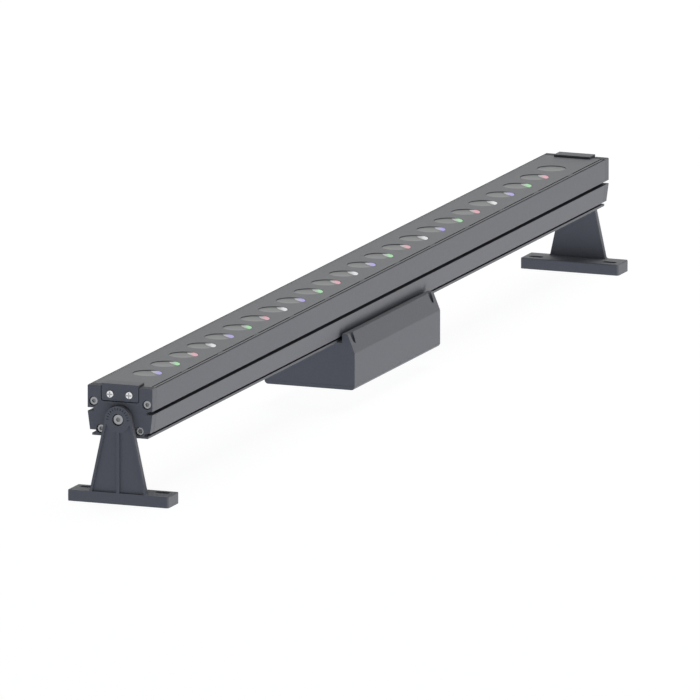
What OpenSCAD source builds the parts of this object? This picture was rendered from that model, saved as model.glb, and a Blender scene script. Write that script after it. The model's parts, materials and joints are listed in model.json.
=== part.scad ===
// Linear outdoor wall washer: an extruded light bar carried between two tilting
// end brackets, with its driver box slung under the middle.
// +X runs along the bar, +Z is up, and the origin lies on the mounting surface
// under the middle of the bar. All sizes are in millimetres.

/* [Light bar] */
// Length of the bar over both end caps
bar_len = 1000; // [900:1:1500]
// Width of the bar across its flat sides
bar_w = 54.5; // [52:0.5:60]
// Height of the bar from its underside to its top
bar_h = 40; // [38.5:0.5:46]
// Chamfer of the bar's long top edges
bar_edge = 0.6; // [0.3:0.1:1]
// Height of the pivot axis above the mounting surface
pivot_h = 67.5; // [66:0.5:90]
// Height of the pivot axis above the underside of the bar
pivot_up = 14.5; // [13.5:0.5:15]

/* [Side grooves] */
// Height of the upper groove's floor above the underside
upper_groove_z = 19.1; // [18.5:0.1:19.5]
// Opening of the upper groove
upper_groove_h = 2.7; // [2:0.1:3.5]
// Depth of the upper groove
upper_groove_d = 5; // [3:0.1:5.5]
// Opening of the lower groove
lower_groove_h = 2.5; // [2:0.1:3]
// Depth of the lower groove, from the side of the bar
lower_groove_d = 6.9; // [6:0.1:7]
// How far the side leans in on its way down to the lower groove
side_lean = 1.95; // [0.5:0.05:2.5]
// Thickness of the bottom lip
lip_t = 1.8; // [1.4:0.1:2]
// How far the bottom lip stands in from the side of the bar
lip_inset = 3.8; // [3:0.1:4.5]

/* [Inside the bar] */
// Width of each long rim beside the cover plate
rim_w = 3.5; // [2.5:0.1:4]
// Width of the ledge that the cover's gasket lies on
ledge_w = 1.6; // [1:0.1:2]
// Height of the circuit boards' shelf above the underside
shelf_z = 25.5; // [25:0.1:26]
// Thickness of that shelf
shelf_t = 4.2; // [3.8:0.1:4.5]
// Thickness of the bar's bottom wall
floor_t = 2.2; // [1.8:0.1:2.4]
// Thickness of the bar's side walls
side_wall = 2.4; // [2:0.1:3]
// Width of the slot under the bar that holds the fixing nuts
nut_slot_w = 6.4; // [5:0.1:7]

/* [Cover and lenses] */
// Distance of the outermost windows' middles from the ends of the bar
lens_end = 58.2; // [54:0.1:80]
// Radius of a window in the cover plate
window_r = 11.65; // [10:0.05:12.5]
// Thickness of the cover plate
cover_t = 3; // [2.5:0.1:3.5]
// Depth of a lens face below the top of the cover plate
lens_sink = 0.7; // [0.4:0.1:1.5]
// Gap between the cover plate and the rims beside it
cover_gap = 0.55; // [0.3:0.05:0.8]
// Thickness of the gasket under the cover plate
gasket_t = 1; // [0.6:0.1:1.4]

/* [End caps] */
// Thickness of an end cap together with its gasket
cap_t = 8.5; // [8:0.1:12]
// Thickness of the gasket behind an end cap
cap_gasket_t = 0.5; // [0.3:0.1:0.8]
// Distance of the upper cap screws from the side of the bar
upper_screw_in = 4.8; // [4.4:0.1:5]
// Height of the upper cap screws above the underside
upper_screw_z = 27; // [26.5:0.1:27.5]
// Distance of the lower cap screws from the side of the bar
lower_screw_in = 11.05; // [10.9:0.05:11.5]
// Height of the lower cap screws above the underside
lower_screw_z = 5.4; // [5:0.1:5.8]

/* [Cover clip] */
// Width of the clip that holds down each end of the cover plate
clip_w = 31; // [26:0.5:32]
// Height of the clip's front plate
clip_h = 13.6; // [12:0.1:14]
// Thickness of the clip's front plate
clip_t = 3.2; // [2.5:0.1:4]
// Reach of the clip over the cover plate, from the end of the bar
clip_reach = 12.5; // [11:0.1:16]
// Thickness of the clip's top flange
flange_t = 1.1; // [0.8:0.1:1.5]
// Thickness of the rubber pad under that flange
pad_t = 0.9; // [0.6:0.1:1.2]
// Gap round the clip in its end cap
clip_gap = 0.6; // [0.3:0.1:0.9]
// Distance of a clip screw from the middle
clip_screw_y = 8; // [6:0.1:9.5]
// Height of a clip screw below the top of the bar
clip_screw_down = 6.3; // [5.5:0.1:7]

/* [Brackets] */
// Length of a foot across the bar
foot_w = 85; // [80:0.5:110]
// Depth of a foot along the bar
foot_d = 23; // [21:0.5:40]
// Thickness of a foot
foot_t = 9; // [6:0.1:12]
// Radius of a foot's upper edges
foot_edge_r = 1.2; // [0.5:0.1:2]
// Radius of the foot's four corners, seen from above
foot_corner_r = 2.2; // [1:0.1:4]
// Thickness of the upright
upright_t = 4.6; // [4:0.1:6]
// Half width of the upright where it meets the foot
upright_half = 23.8; // [18:0.1:24.2]
// Radius of the upright's round head
head_r = 10.8; // [10.5:0.1:11.2]
// Gap between the upright and the end cap
swing_gap = 0.4; // [0.3:0.1:1]
// Depth of the panels let into the upright
panel_d = 0.9; // [0.4:0.1:1.4]
// Width of the rim round those panels
panel_rim = 2; // [1:0.1:3]
// Width of the rib between the panels
panel_rib = 2.6; // [1.5:0.1:5]
// Radius of the fillet where the upright meets the foot
root_fillet = 2; // [1:0.1:3]
// Width of a mounting slot
slot_w = 6; // [4.5:0.1:7]
// Length of a mounting slot
slot_len = 12.3; // [9:0.1:13]
// Distance of a mounting slot from the middle
slot_y = 31.7; // [31:0.1:33]
// Distance of a mounting slot from the bracket's outer face
slot_inset = 15; // [13:0.1:16]
// Angle between two marks of the tilt scale
mark_step = 15; // [5:5:30]

/* [Pivot] */
// Radius of the pivot bolt's shank
bolt_r = 2.5; // [2:0.1:3]
// Radius of the pivot bolt's head
bolt_head_r = 4.25; // [4:0.05:4.5]
// Height of the pivot bolt's head
bolt_head_h = 3; // [2.5:0.1:3.2]
// Length of the boss behind the bracket's head
boss_len = 2.4; // [1.8:0.1:2.6]
// Thickness of the friction washer in the end cap
washer_t = 0.7; // [0.5:0.1:1]

/* [Driver box] */
// Length of the driver box
box_len = 187.7; // [168:0.1:300]
// Width of the driver box
box_w = 76.8; // [74:0.1:82]
// Height of the driver box below the bar
box_h = 37.8; // [36:0.1:39.5]
// Height of its upright sides, from its underside to where they bend inwards
box_side_h = 29.8; // [27:0.1:31]
// How far the driver box reaches up the sides of the bar
box_overlap = 7; // [6:0.1:8]
// Width of the rail along each side of the bar
rail_w = 4.8; // [4.4:0.1:5.2]
// Clearance between the bar and the rails
box_gap = 0.25; // [0.15:0.05:0.6]
// Wall of the driver box
box_wall = 2.8; // [2.2:0.1:3]
// Thickness of the driver box's bottom cover, and radius of its long edges
base_t = 3; // [2.5:0.1:3.5]
// Distance of a corner screw from the end of the driver box
corner_inset = 8.2; // [7.5:0.1:10]
// Distance of a corner screw from the side of the driver box
corner_side = 5.7; // [5.5:0.1:6]
// Radius of the well over a corner screw
well_r = 2.9; // [2.85:0.05:3]
// Height of the cable entry above the underside of the box
gland_up = 17.5; // [16:0.1:19]
// Radius of the cable that the gland takes
cable_r = 3.6; // [2.5:0.1:4]

/* [Hidden] */
$fn = 64;
eps = 0.5;
fit = 0.02;                              // radial gap of a screw in its thread
run = 0.06;                              // gap of the turning pivot
slip = 0.2;                              // gap between loose fitted pieces

bar_z = pivot_h - pivot_up;
bar_half = bar_w / 2;
bar_top = bar_z + bar_h;
half_len = bar_len / 2;
cap_x = half_len - cap_t;                // where the gasket meets the housing
cap_inner_x = cap_x + cap_gasket_t;
upper_groove_top = upper_groove_z + upper_groove_h;
lower_groove_top = lip_t + lower_groove_h;
lower_groove_half = bar_half - lower_groove_d;
lip_half = bar_half - lip_inset;
seat_half = bar_half - rim_w;
cover_half = seat_half - cover_gap;
seat_z = bar_h - cover_t - gasket_t;
lug_w = 1.6;

m4_r = 2;
m4_head_r = 3.4;
m4_head_h = 4;
m4_len = 18;
m4_sink = 0.7;                           // how deep a cap screw's head lies in its well
m4_well_r = 3.7;
m4_hex_r = 1.75;
m3_r = 1.5;
m3_head_r = 2.75;
m3_head_h = 3;
m3_hex_r = 1.45;
pan_r = 3;                               // pan heads of the small cross-slotted screws
pan_h = 1.6;
pan_edge = 0.7;
cross_len = 3.6;
cross_w = 0.8;
cross_d = 0.9;
clear = 0.2;                             // radial gap of a screw in a plain hole
hole_end = 0.6;                          // blind hole beyond the end of its screw

port_wall = 1.7;
upper_screw_y = bar_half - upper_screw_in;
lower_screw_y = bar_half - lower_screw_in;
port_channel = upper_screw_y - m4_r - port_wall;
port_top = upper_screw_z + m4_r + port_wall + eps;
lower_block_top = lower_screw_z + m4_r + port_wall - eps;
cap_seat_x = half_len - m4_sink - m4_head_h;

slot_nut_gap = 0.2;
slot_nut_w = nut_slot_w + 4.8;
slot_nut_h = 3.2;
slot_nut_l = 12;
slot_wall = 2;
slot_top = floor_t + slot_nut_h + slot_wall;

board_count = 6;                         // one node of lenses and one circuit board each
lenses_per_board = 4;
lens_count = board_count * lenses_per_board;
lens_pitch = (bar_len - 2 * lens_end) / (lens_count - 1);
colour_count = 4;                        // blue, green, red and white take turns along the bar
board_len = lenses_per_board * lens_pitch - 1;
board_half = port_channel - 0.6;
board_t = 1.6;
board_top = shelf_z + board_t;
board_screw_len = 4.8;
chip_w = 5;
chip_h = 1.2;
dome_r = 1.7;
link_l = 9;
link_w = 4;
link_h = 2;
link_y = board_half - link_w - 1;

lens_r = window_r - slip;
lens_flange_r = window_r + 1.2;
lens_flange_t = 2.2;
lens_top = bar_h - lens_sink;
lens_flange_z = bar_h - cover_t - lens_flange_t - 0.1;
lens_foot_z = board_top + chip_h + 0.3;
lens_foot_r = 4.4;
lens_pit_r = 2.4;                        // pit in which the light source's dome stands
lens_pit_top = board_top + chip_h + dome_r + 0.6;
lens_leg_r = 1;
carrier_half = 4;
carrier_t = 1.2;

clip_rise = pad_t + flange_t;
clip_bottom = bar_h + clip_rise - clip_h;
clip_corner_r = 1.5;
clip_screw_z = bar_top - clip_screw_down;
clip_screw_len = cap_t - cap_gasket_t - hole_end;

upright_x = half_len + swing_gap;        // inner face of the upright
outer_x = upright_x + upright_t;
foot_in = outer_x - foot_d;
slot_x = outer_x - slot_inset;
pocket_r = head_r + 0.4;
boss_in_x = upright_x - boss_len;
pocket_x = boss_in_x - 0.1 - washer_t;   // floor of the end cap's pocket
head_sink = 1.2;
head_well_r = bolt_head_r + 0.55;
seat_x = outer_x - head_sink - bolt_head_h;
bolt_hex_r = 2.3;
bolt_len = seat_x - cap_inner_x + 3.5;
anchor_r = bolt_r + 3.5;                 // boss inside the bar that takes the bolt's thread
anchor_x = seat_x - bolt_len - 2;
washer_r = head_r - 1.3;
panel_top_r = head_r - 0.4;
mark_r = head_r - 3.3;
mark_len = 2.2;
mark_w = 0.5;
mark_d = 0.3;

// The side of the upright is the tangent from its foot corner to the round head.
upright_rise = pivot_h - foot_t;
corner_reach = norm([upright_half, upright_rise]);
side_angle = atan(upright_half / upright_rise) - asin(head_r / corner_reach);
fillet_y = upright_half + root_fillet * (1 - sin(side_angle)) / cos(side_angle);

box_bottom = bar_z - box_h;
box_split = box_bottom + base_t;         // joint between the shell and its bottom cover
box_bend = box_bottom + box_side_h;
box_top = bar_z + box_overlap;
box_half = box_w / 2;
box_end = box_len / 2;
box_roof = bar_z - box_wall;
trough_half = bar_half + box_gap;
box_top_half = trough_half + rail_w;
corner_x = box_end - corner_inset;
corner_y = box_half - corner_side;
corner_seat = bar_z - 4;
corner_boss_h = 4;
corner_len = corner_seat - box_bottom - 1.2;
post_r = 4;
seal_w = 1.3;
seal_h = 0.8;
seal_in = (box_wall - seal_w) / 2;

fixing_x = box_end - 28;                 // screws that hold the box to the bar
fixing_len = box_wall + floor_t + slot_nut_h - 0.6;
fixing_head_r = 3.5;
fixing_head_h = 2.4;

supply_l = 86;
supply_w = 46;
supply_h = 22;
supply_ear = 8;
supply_x = -box_end + box_wall + 3 + supply_ear + supply_l / 2;
supply_ear_t = 2;
supply_ear_half = 15;
supply_screw_y = 10;
supply_pad_h = 3;
supply_screw_len = 5;
supply_z = box_split + supply_pad_h;

gland_room = 9;                          // free length inside the box behind the gland
control_l = 44;
control_x = box_end - box_wall - gland_room - control_l / 2;
control_w = 50;
control_t = 1.6;
spacer_h = 5;
spacer_r = 3;
control_z = box_split + spacer_h;
control_screw_x = control_l / 2 - 4;
control_screw_y = control_w / 2 - 4;
control_screw_len = 8;

wire_r = 0.8;
wire_gap = 2.4;                          // between the two wires' middles
wire_x = control_x - 14;
wire_y = (slot_nut_w / 2 + slot_wall + lower_screw_y - m4_r - port_wall) / 2;
terminal_l = 12;
terminal_w = 10;
terminal_h = 11;
terminal_top = control_z + control_t + terminal_h;
supply_wire_z = terminal_top - 4;
grommet_r = 3.4;
grommet_bore = 2.3;
grommet_lip = 1.2;
grommet_lip_t = 0.8;

gland_z = box_bottom + gland_up;
gland_hex_r = 10.4;
gland_thread_r = 7.8;
gland_hex_t = 5;
gland_neck = 8;
gland_tail = 6.5;
gland_nut_l = 13;
gland_seat = 3;                          // where the rubber seal starts, from the box's end
locknut_t = 5;
gland_seal_r = cable_r + 1.9;
gland_tail_x = box_end - box_wall - gland_tail;
gland_neck_x = box_end + gland_hex_t + gland_neck;
gland_shoulder_x = gland_neck_x + 0.5;   // inside the outer nut, where it presses on the seal

paint = [0.30, 0.31, 0.34];
paint_light = [0.46, 0.46, 0.47];
glass = [0.62, 0.63, 0.63];
steel = [0.55, 0.56, 0.57];
nickel = [0.86, 0.87, 0.88];
rubber = [0.10, 0.10, 0.11];
board_white = [0.90, 0.91, 0.90];
board_green = [0.10, 0.35, 0.20];
plastic_black = [0.07, 0.07, 0.08];

// Draws its child, made for the +X end, at the -X end.
module left() mirror([1, 0, 0]) children();

// Draws its child at both ends of the bar.
module both_ends() {
    children();
    left() children();
}

// Draws its child, made for +Y, on both sides of the middle.
module both_sides() {
    children();
    mirror([0, 1, 0]) children();
}

// The same for a flat section, drawn as [y, z].
module both_edges() {
    children();
    mirror([1, 0]) children();
}

// Extrudes a section, drawn as [y, z], from x0 to x1.
module along_x(x0, x1)
    translate([x0, 0, 0]) rotate([90, 0, 90]) linear_extrude(x1 - x0) children();

// A round rod along X from x0 to x1.
module rod_x(x0, x1, y, z, r)
    translate([x0, y, z]) rotate([0, 90, 0]) cylinder(h = x1 - x0, r = r);

// A cone along X from x0 to x1.
module cone_x(x0, x1, y, z, r0, r1)
    translate([x0, y, z]) rotate([0, 90, 0]) cylinder(h = x1 - x0, r1 = r0, r2 = r1);

// A hexagonal bar along X, of radius r across its corners.
module hex_x(x0, x1, y, z, r)
    translate([x0, y, z]) rotate([0, 90, 0]) cylinder(h = x1 - x0, r = r, $fn = 6);

// A rectangle about the middle, of half width h, from z0 to z1.
module band(h, z0, z1) translate([-h, z0]) square([2 * h, z1 - z0]);

// The same with its two upper corners rounded.
module band_round_top(h, z0, z1, r) {
    band(h, z0, z1 - r);
    band(h - r, z1 - 2 * r, z1);
    both_edges() translate([h - r, z1 - r]) circle(r = r);
}

// A socket head screw with the middle of its head's face at the origin, pointing to -X.
module socket_screw(r, head_r, head_h, length, hex_r) {
    difference() {
        union() {
            rod_x(-head_h, 0, 0, 0, head_r);
            rod_x(-head_h - length, -head_h + eps, 0, 0, r);
        }
        hex_x(-head_h * 0.6, eps, 0, 0, hex_r);
    }
}

// A cross-slotted pan head screw with the underside of its head at the origin, pointing to -X.
module pan_screw(length) {
    difference() {
        union() {
            rotate([0, 90, 0]) rotate_extrude() polygon([
                [0, -eps], [m3_r, -eps], [m3_r, 0], [pan_r, 0], [pan_r, pan_h - pan_edge],
                [pan_r - pan_edge, pan_h], [0, pan_h]]);
            rod_x(-length, 0, 0, 0, m3_r);
        }
        for (a = [0, 90]) rotate([a, 0, 0])
            translate([pan_h - cross_d, -cross_len / 2, -cross_w / 2])
                cube([cross_d + eps, cross_len, cross_w]);
    }
}

// Turns a screw that points to -X so that it points down, or up.
module pointing_down() rotate([0, -90, 0]) children();
module pointing_up() rotate([0, 90, 0]) children();

// The bar's outline as [y, height above its underside].
module bar_outline() {
    band(lip_half, 0, lip_t);
    band(lower_groove_half, lip_t - eps, lower_groove_top + eps);
    polygon([
        [-bar_half + side_lean, lower_groove_top], [bar_half - side_lean, lower_groove_top],
        [bar_half, upper_groove_z], [-bar_half, upper_groove_z]]);
    band(bar_half - upper_groove_d, upper_groove_z - eps, upper_groove_top + eps);
    polygon([
        [-bar_half, upper_groove_top], [bar_half, upper_groove_top], [bar_half, bar_h - bar_edge],
        [bar_half - bar_edge, bar_h], [-bar_half + bar_edge, bar_h], [-bar_half, bar_h - bar_edge]]);
}

// What the extrusion leaves open inside that outline.
module bar_hollow() {
    // Seat of the cover plate, and the light channel under it.
    band(seat_half, seat_z, bar_h + eps);
    band(seat_half - ledge_w, port_top, seat_z + eps);
    band(port_channel, shelf_z, port_top + eps);
    // Chamber under the boards' shelf, narrower beside the upper grooves.
    band(bar_half - upper_groove_d - side_wall, lower_block_top, shelf_z - shelf_t);
    band(bar_half - side_lean - side_wall, lower_block_top, upper_groove_z - side_wall);
    // Its lower part lies between the lower screw ports and the nut slot.
    difference() {
        band(lower_screw_y - m4_r - port_wall, floor_t, lower_block_top + eps);
        band(slot_nut_w / 2 + slot_wall, 0, slot_top);
    }
    band(nut_slot_w / 2, -eps, floor_t + eps);
    band(slot_nut_w / 2, floor_t, floor_t + slot_nut_h);
}

module cap_screw_places() {
    both_sides() translate([0, upper_screw_y, bar_z + upper_screw_z]) children();
    both_sides() translate([0, lower_screw_y, bar_z + lower_screw_z]) children();
}

// Middle of the window with that number, counted from the -X end.
function lens_x(i) = (i - (lens_count - 1) / 2) * lens_pitch;

// Middle of the circuit board with that number, counted from 1 at the -X end.
function board_x(n) = (n - (board_count + 1) / 2) * lenses_per_board * lens_pitch;

module housing() color(paint_light) {
    difference() {
        translate([0, 0, bar_z]) along_x(-cap_x, cap_x) difference() {
            bar_outline();
            bar_hollow();
        }
        both_ends() cap_screw_places()
            rod_x(cap_seat_x - m4_len - hole_end, cap_x + eps, 0, 0, m4_r + fit);
        // The wires come up through the bottom wall and the shelf.
        translate([wire_x, wire_y, bar_z - eps])
            cylinder(h = floor_t + 2 * eps, r = grommet_r + slip / 2);
        translate([wire_x, wire_y, bar_z + shelf_z - shelf_t - eps])
            cylinder(h = shelf_t + 2 * eps, r = grommet_bore);
        board_screw_places() translate([0, 0, -board_screw_len - hole_end])
            cylinder(h = board_screw_len + eps, r = m3_r + fit);
    }
}

module cover_plate() color(paint_light) {
    difference() {
        union() {
            translate([0, 0, bar_z]) along_x(-cap_x, cap_x) band(cover_half, bar_h - cover_t, bar_h);
            // Lugs in line with the joints of the circuit boards keep the plate central.
            for (b = [0 : board_count]) both_sides()
                translate([board_x(b + 0.5) - lug_w / 2, cover_half - eps, bar_top - cover_t])
                    cube([lug_w, cover_gap + eps, cover_t - 0.1]);
        }
        for (i = [0 : lens_count - 1])
            translate([lens_x(i), 0, bar_top - cover_t - eps]) cylinder(h = cover_t + 2 * eps, r = window_r);
    }
}

module cover_gasket() color(rubber) translate([0, 0, bar_z + seat_z]) difference() {
    translate([-cap_x, -seat_half, 0]) cube([2 * cap_x, 2 * seat_half, gasket_t]);
    translate([-cap_x + 2 * ledge_w, ledge_w - seat_half, -eps])
        cube([2 * (cap_x - 2 * ledge_w), 2 * (seat_half - ledge_w), gasket_t + 2 * eps]);
}

// A lens gathers light in its cone and stands on the circuit board with two legs.
module lens() {
    rotate_extrude() polygon([
        [lens_pit_r, lens_foot_z], [lens_foot_r, lens_foot_z], [lens_r - 0.6, lens_flange_z],
        [lens_flange_r, lens_flange_z], [lens_flange_r, lens_flange_z + lens_flange_t],
        [lens_r, lens_flange_z + lens_flange_t], [lens_r, lens_top], [0, lens_top],
        [0, lens_pit_top], [lens_pit_r, lens_pit_top]]);
    both_sides() translate([0, lens_flange_r - lens_leg_r - 0.1, board_top])
        cylinder(h = lens_flange_z - board_top + eps, r = lens_leg_r);
}

module lens_array(n) color(glass) translate([board_x(n), 0, bar_z]) {
    for (i = [0.5 : lenses_per_board / 2]) for (s = [-1, 1]) translate([s * i * lens_pitch, 0, 0]) lens();
    // A carrier strip joins the lenses; it breaks off inside each lens's flange.
    for (i = [1 - lenses_per_board / 2 : lenses_per_board / 2 - 1])
        translate([(i - 0.5) * lens_pitch + lens_r, -carrier_half, lens_flange_z])
            cube([lens_pitch - 2 * lens_r, 2 * carrier_half, carrier_t]);
}

module led_board(n) color(board_white) translate([board_x(n), 0, bar_z + shelf_z]) difference() {
    translate([-board_len / 2, -board_half, 0]) cube([board_len, 2 * board_half, board_t]);
    for (s = [-1, 1]) translate([s * lens_pitch, 0, -eps]) cylinder(h = board_t + 2 * eps, r = m3_r + clear);
}

// Light sources of one colour, counted from the first window that has it.
module leds(first, shade) color(shade) for (i = [first : colour_count : lens_count - 1])
    translate([lens_x(i), 0, bar_z + board_top]) {
        translate([-chip_w / 2, -chip_w / 2, 0]) cube([chip_w, chip_w, chip_h]);
        translate([0, 0, chip_h]) difference() {
            sphere(r = dome_r);
            translate([-chip_w / 2, -chip_w / 2, -chip_w]) cube(chip_w);
        }
    }

module board_links() color(plastic_black) for (b = [1 : board_count - 1])
    translate([board_x(b + 0.5) - link_l / 2, link_y, bar_z + board_top]) cube([link_l, link_w, link_h]);

module board_screw_places() for (b = [1 : board_count]) for (s = [-1, 1])
    translate([board_x(b) + s * lens_pitch, 0, bar_z + board_top]) children();

module board_screws() color(steel) board_screw_places() pointing_down() pan_screw(board_screw_len);

module end_cap() {
    difference() {
        union() {
            translate([0, 0, bar_z]) along_x(cap_inner_x, half_len) bar_outline();
            rod_x(anchor_x, cap_inner_x + eps, 0, pivot_h, anchor_r);
        }
        // Pocket for the bracket's boss, and the pivot bolt's thread.
        rod_x(pocket_x, half_len + eps, 0, pivot_h, pocket_r);
        rod_x(seat_x - bolt_len - hole_end, half_len, 0, pivot_h, bolt_r + fit);
        cap_screw_places() {
            rod_x(cap_inner_x - eps, half_len, 0, 0, m4_r + clear);
            rod_x(cap_seat_x, half_len + eps, 0, 0, m4_well_r);
        }
        // Recess for the cover clip.
        translate([half_len - clip_t, -clip_w / 2 - clip_gap, bar_z + clip_bottom - clip_gap])
            cube([clip_t + eps, clip_w + 2 * clip_gap, clip_h + clip_gap]);
        both_sides() translate([half_len, clip_screw_y, clip_screw_z])
            rod_x(-clip_screw_len - hole_end / 2, 0, 0, 0, m3_r + fit);
    }
}

module cap_gasket() difference() {
    translate([0, 0, bar_z]) along_x(cap_x, cap_inner_x) bar_outline();
    rod_x(cap_x - eps, cap_inner_x + eps, 0, pivot_h, anchor_r + slip);
    cap_screw_places() rod_x(cap_x - eps, cap_inner_x + eps, 0, 0, m4_r + clear);
}

module cap_screws() color(steel) both_ends() cap_screw_places()
    translate([half_len - m4_sink, 0, 0]) socket_screw(m4_r, m4_head_r, m4_head_h, m4_len, m4_hex_r);

module cover_clip() difference() {
    union() {
        translate([0, 0, bar_z]) along_x(half_len - clip_t, half_len) {
            band(clip_w / 2, clip_bottom + clip_corner_r, bar_h + clip_rise);
            band(clip_w / 2 - clip_corner_r, clip_bottom, bar_h);
            both_edges() translate([clip_w / 2 - clip_corner_r, clip_bottom + clip_corner_r])
                circle(r = clip_corner_r);
        }
        translate([half_len - clip_reach, -clip_w / 2, bar_top + pad_t])
            cube([clip_reach - clip_t + eps, clip_w, flange_t]);
    }
    both_sides() rod_x(half_len - clip_t - eps, half_len + eps, clip_screw_y, clip_screw_z, m3_r + clear / 2);
}

module clip_pad() translate([half_len - clip_reach, -clip_w / 2, bar_top])
    cube([clip_reach - clip_t, clip_w, pad_t]);

module clip_screws() color(nickel) both_ends() both_sides()
    translate([half_len, clip_screw_y, clip_screw_z]) pan_screw(clip_screw_len);

// Half width of the upright's tapered part at height z, less an inset.
function upright_y(z, inset) = (head_r - inset) / cos(side_angle) + (pivot_h - z) * tan(side_angle);

module upright_outline() {
    tangent = head_r * [cos(side_angle), sin(side_angle)];
    translate([0, pivot_h]) circle(r = head_r);
    polygon([
        [-upright_half, foot_t - eps], [upright_half, foot_t - eps], [upright_half, foot_t],
        [tangent[0], pivot_h + tangent[1]], [-tangent[0], pivot_h + tangent[1]], [-upright_half, foot_t]]);
    // Root fillets
    centre = [fillet_y, foot_t + root_fillet];
    both_edges() difference() {
        polygon([
            [upright_half - eps, foot_t - eps], [fillet_y, foot_t - eps], centre,
            centre - root_fillet * [cos(side_angle), sin(side_angle)]]);
        translate(centre) circle(r = root_fillet);
    }
}

// One of the two panels let into the upright's outer face.
module panel_outline() difference() {
    polygon([
        [panel_rib / 2, foot_t], [upright_y(foot_t, panel_rim), foot_t],
        [upright_y(pivot_h, panel_rim), pivot_h], [panel_rib / 2, pivot_h]]);
    translate([0, pivot_h]) circle(r = panel_top_r);
}

module foot() intersection() {
    along_x(foot_in, outer_x) band_round_top(foot_w / 2, 0, foot_t, foot_edge_r);
    rotate([90, 0, 0]) linear_extrude(foot_w, center = true) {
        translate([foot_in, 0]) square([foot_d, foot_t - foot_edge_r]);
        translate([foot_in + foot_edge_r, 0]) square([foot_d - foot_edge_r, foot_t]);
        translate([foot_in + foot_edge_r, foot_t - foot_edge_r]) circle(r = foot_edge_r);
    }
    linear_extrude(foot_t) {
        translate([foot_in, -foot_w / 2 + foot_corner_r]) square([foot_d, foot_w - 2 * foot_corner_r]);
        translate([foot_in + foot_corner_r, -foot_w / 2]) square([foot_d - 2 * foot_corner_r, foot_w]);
        for (x = [foot_in + foot_corner_r, outer_x - foot_corner_r]) for (s = [-1, 1])
            translate([x, s * (foot_w / 2 - foot_corner_r)]) circle(r = foot_corner_r);
    }
}

// A straight slot with round ends, along Y, right through the foot.
module foot_slot() translate([slot_x, slot_y, -eps]) {
    straight = slot_len - slot_w;
    translate([-slot_w / 2, -straight / 2, 0]) cube([slot_w, straight, foot_t + 2 * eps]);
    for (s = [-1, 1]) translate([0, s * straight / 2, 0]) cylinder(h = foot_t + 2 * eps, r = slot_w / 2);
}

module bracket() difference() {
    union() {
        foot();
        along_x(upright_x, outer_x) upright_outline();
        rod_x(boss_in_x, upright_x + eps, 0, pivot_h, head_r);
    }
    both_sides() foot_slot();
    along_x(outer_x - panel_d, outer_x + eps) both_edges() panel_outline();
    for (a = [-90 : mark_step : 90]) translate([outer_x - mark_d, 0, pivot_h]) rotate([a, 0, 0])
        translate([0, -mark_w / 2, mark_r]) cube([mark_d + eps, mark_w, mark_len]);
    rod_x(boss_in_x - eps, outer_x, 0, pivot_h, bolt_r + run);
    rod_x(seat_x, outer_x + eps, 0, pivot_h, head_well_r);
}

module pivot_bolt() translate([seat_x + bolt_head_h + run, 0, pivot_h])
    socket_screw(bolt_r, bolt_head_r, bolt_head_h, bolt_len, bolt_hex_r);

module pivot_washer() difference() {
    rod_x(pocket_x, pocket_x + washer_t, 0, pivot_h, washer_r);
    rod_x(pocket_x - eps, pocket_x + washer_t + eps, 0, pivot_h, bolt_r + run);
}

// Shell of the driver box: two rails stand up beside the bar.
module box_outline() polygon([
    [-box_half, box_split], [box_half, box_split], [box_half, box_bend], [box_top_half, box_top],
    [trough_half, box_top], [trough_half, bar_z], [-trough_half, bar_z], [-trough_half, box_top],
    [-box_top_half, box_top], [-box_half, box_bend]]);

// Half width of that shell's sloped face at height z.
function slope_y(z) = box_half - (box_half - box_top_half) * (z - box_bend) / (box_top - box_bend);

module box_cavity() polygon([
    [-box_half + box_wall, box_split - eps], [box_half - box_wall, box_split - eps],
    [box_half - box_wall, box_bend - 1], [slope_y(box_roof) - box_wall, box_roof],
    [-slope_y(box_roof) + box_wall, box_roof], [-box_half + box_wall, box_bend - 1]]);

module corner_places() both_ends() both_sides() translate([corner_x, corner_y, 0]) children();
module fixing_places() for (x = [-fixing_x, fixing_x]) translate([x, 0, 0]) children();

module driver_housing() color(paint) {
    difference() {
        union() {
            difference() {
                along_x(-box_end, box_end) box_outline();
                along_x(-box_end + box_wall, box_end - box_wall) box_cavity();
            }
            intersection() {
                along_x(-box_end, box_end) box_outline();
                corner_places() translate([0, 0, box_split + corner_boss_h])
                    cylinder(h = box_roof + eps - box_split - corner_boss_h, r = post_r);
            }
        }
        corner_places() {
            translate([0, 0, corner_seat]) cylinder(h = box_top - corner_seat + eps, r = well_r);
            translate([0, 0, box_split]) cylinder(h = corner_seat - box_split + eps, r = m3_r + clear);
        }
        fixing_places() translate([0, 0, box_roof - eps]) cylinder(h = box_wall + 2 * eps, r = m4_r + clear);
        translate([wire_x, wire_y, box_roof - eps])
            cylinder(h = box_wall + 2 * eps, r = grommet_r + slip / 2);
        rod_x(box_end - box_wall - eps, box_end + eps, 0, gland_z, gland_thread_r + clear);
    }
}

module base_outline() {
    band(box_half - base_t, box_bottom, box_split);
    both_edges() intersection() {
        translate([box_half - base_t, box_split]) circle(r = base_t);
        translate([box_half - base_t - eps, box_bottom]) square([base_t + 2 * eps, base_t]);
    }
}

// A flat frame that follows the driver box's rim, with its outer edge that far in.
module rim_frame(inset, w, h) linear_extrude(h) difference() {
    square([box_len - 2 * inset, box_w - 2 * inset], center = true);
    square([box_len - 2 * (inset + w), box_w - 2 * (inset + w)], center = true);
}

module supply_screw_places() for (s = [-1, 1]) both_sides()
    translate([supply_x + s * (supply_l + supply_ear) / 2, supply_screw_y, supply_z]) children();

module control_places() for (s = [-1, 1]) both_sides()
    translate([control_x + s * control_screw_x, control_screw_y, control_z]) children();

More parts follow.
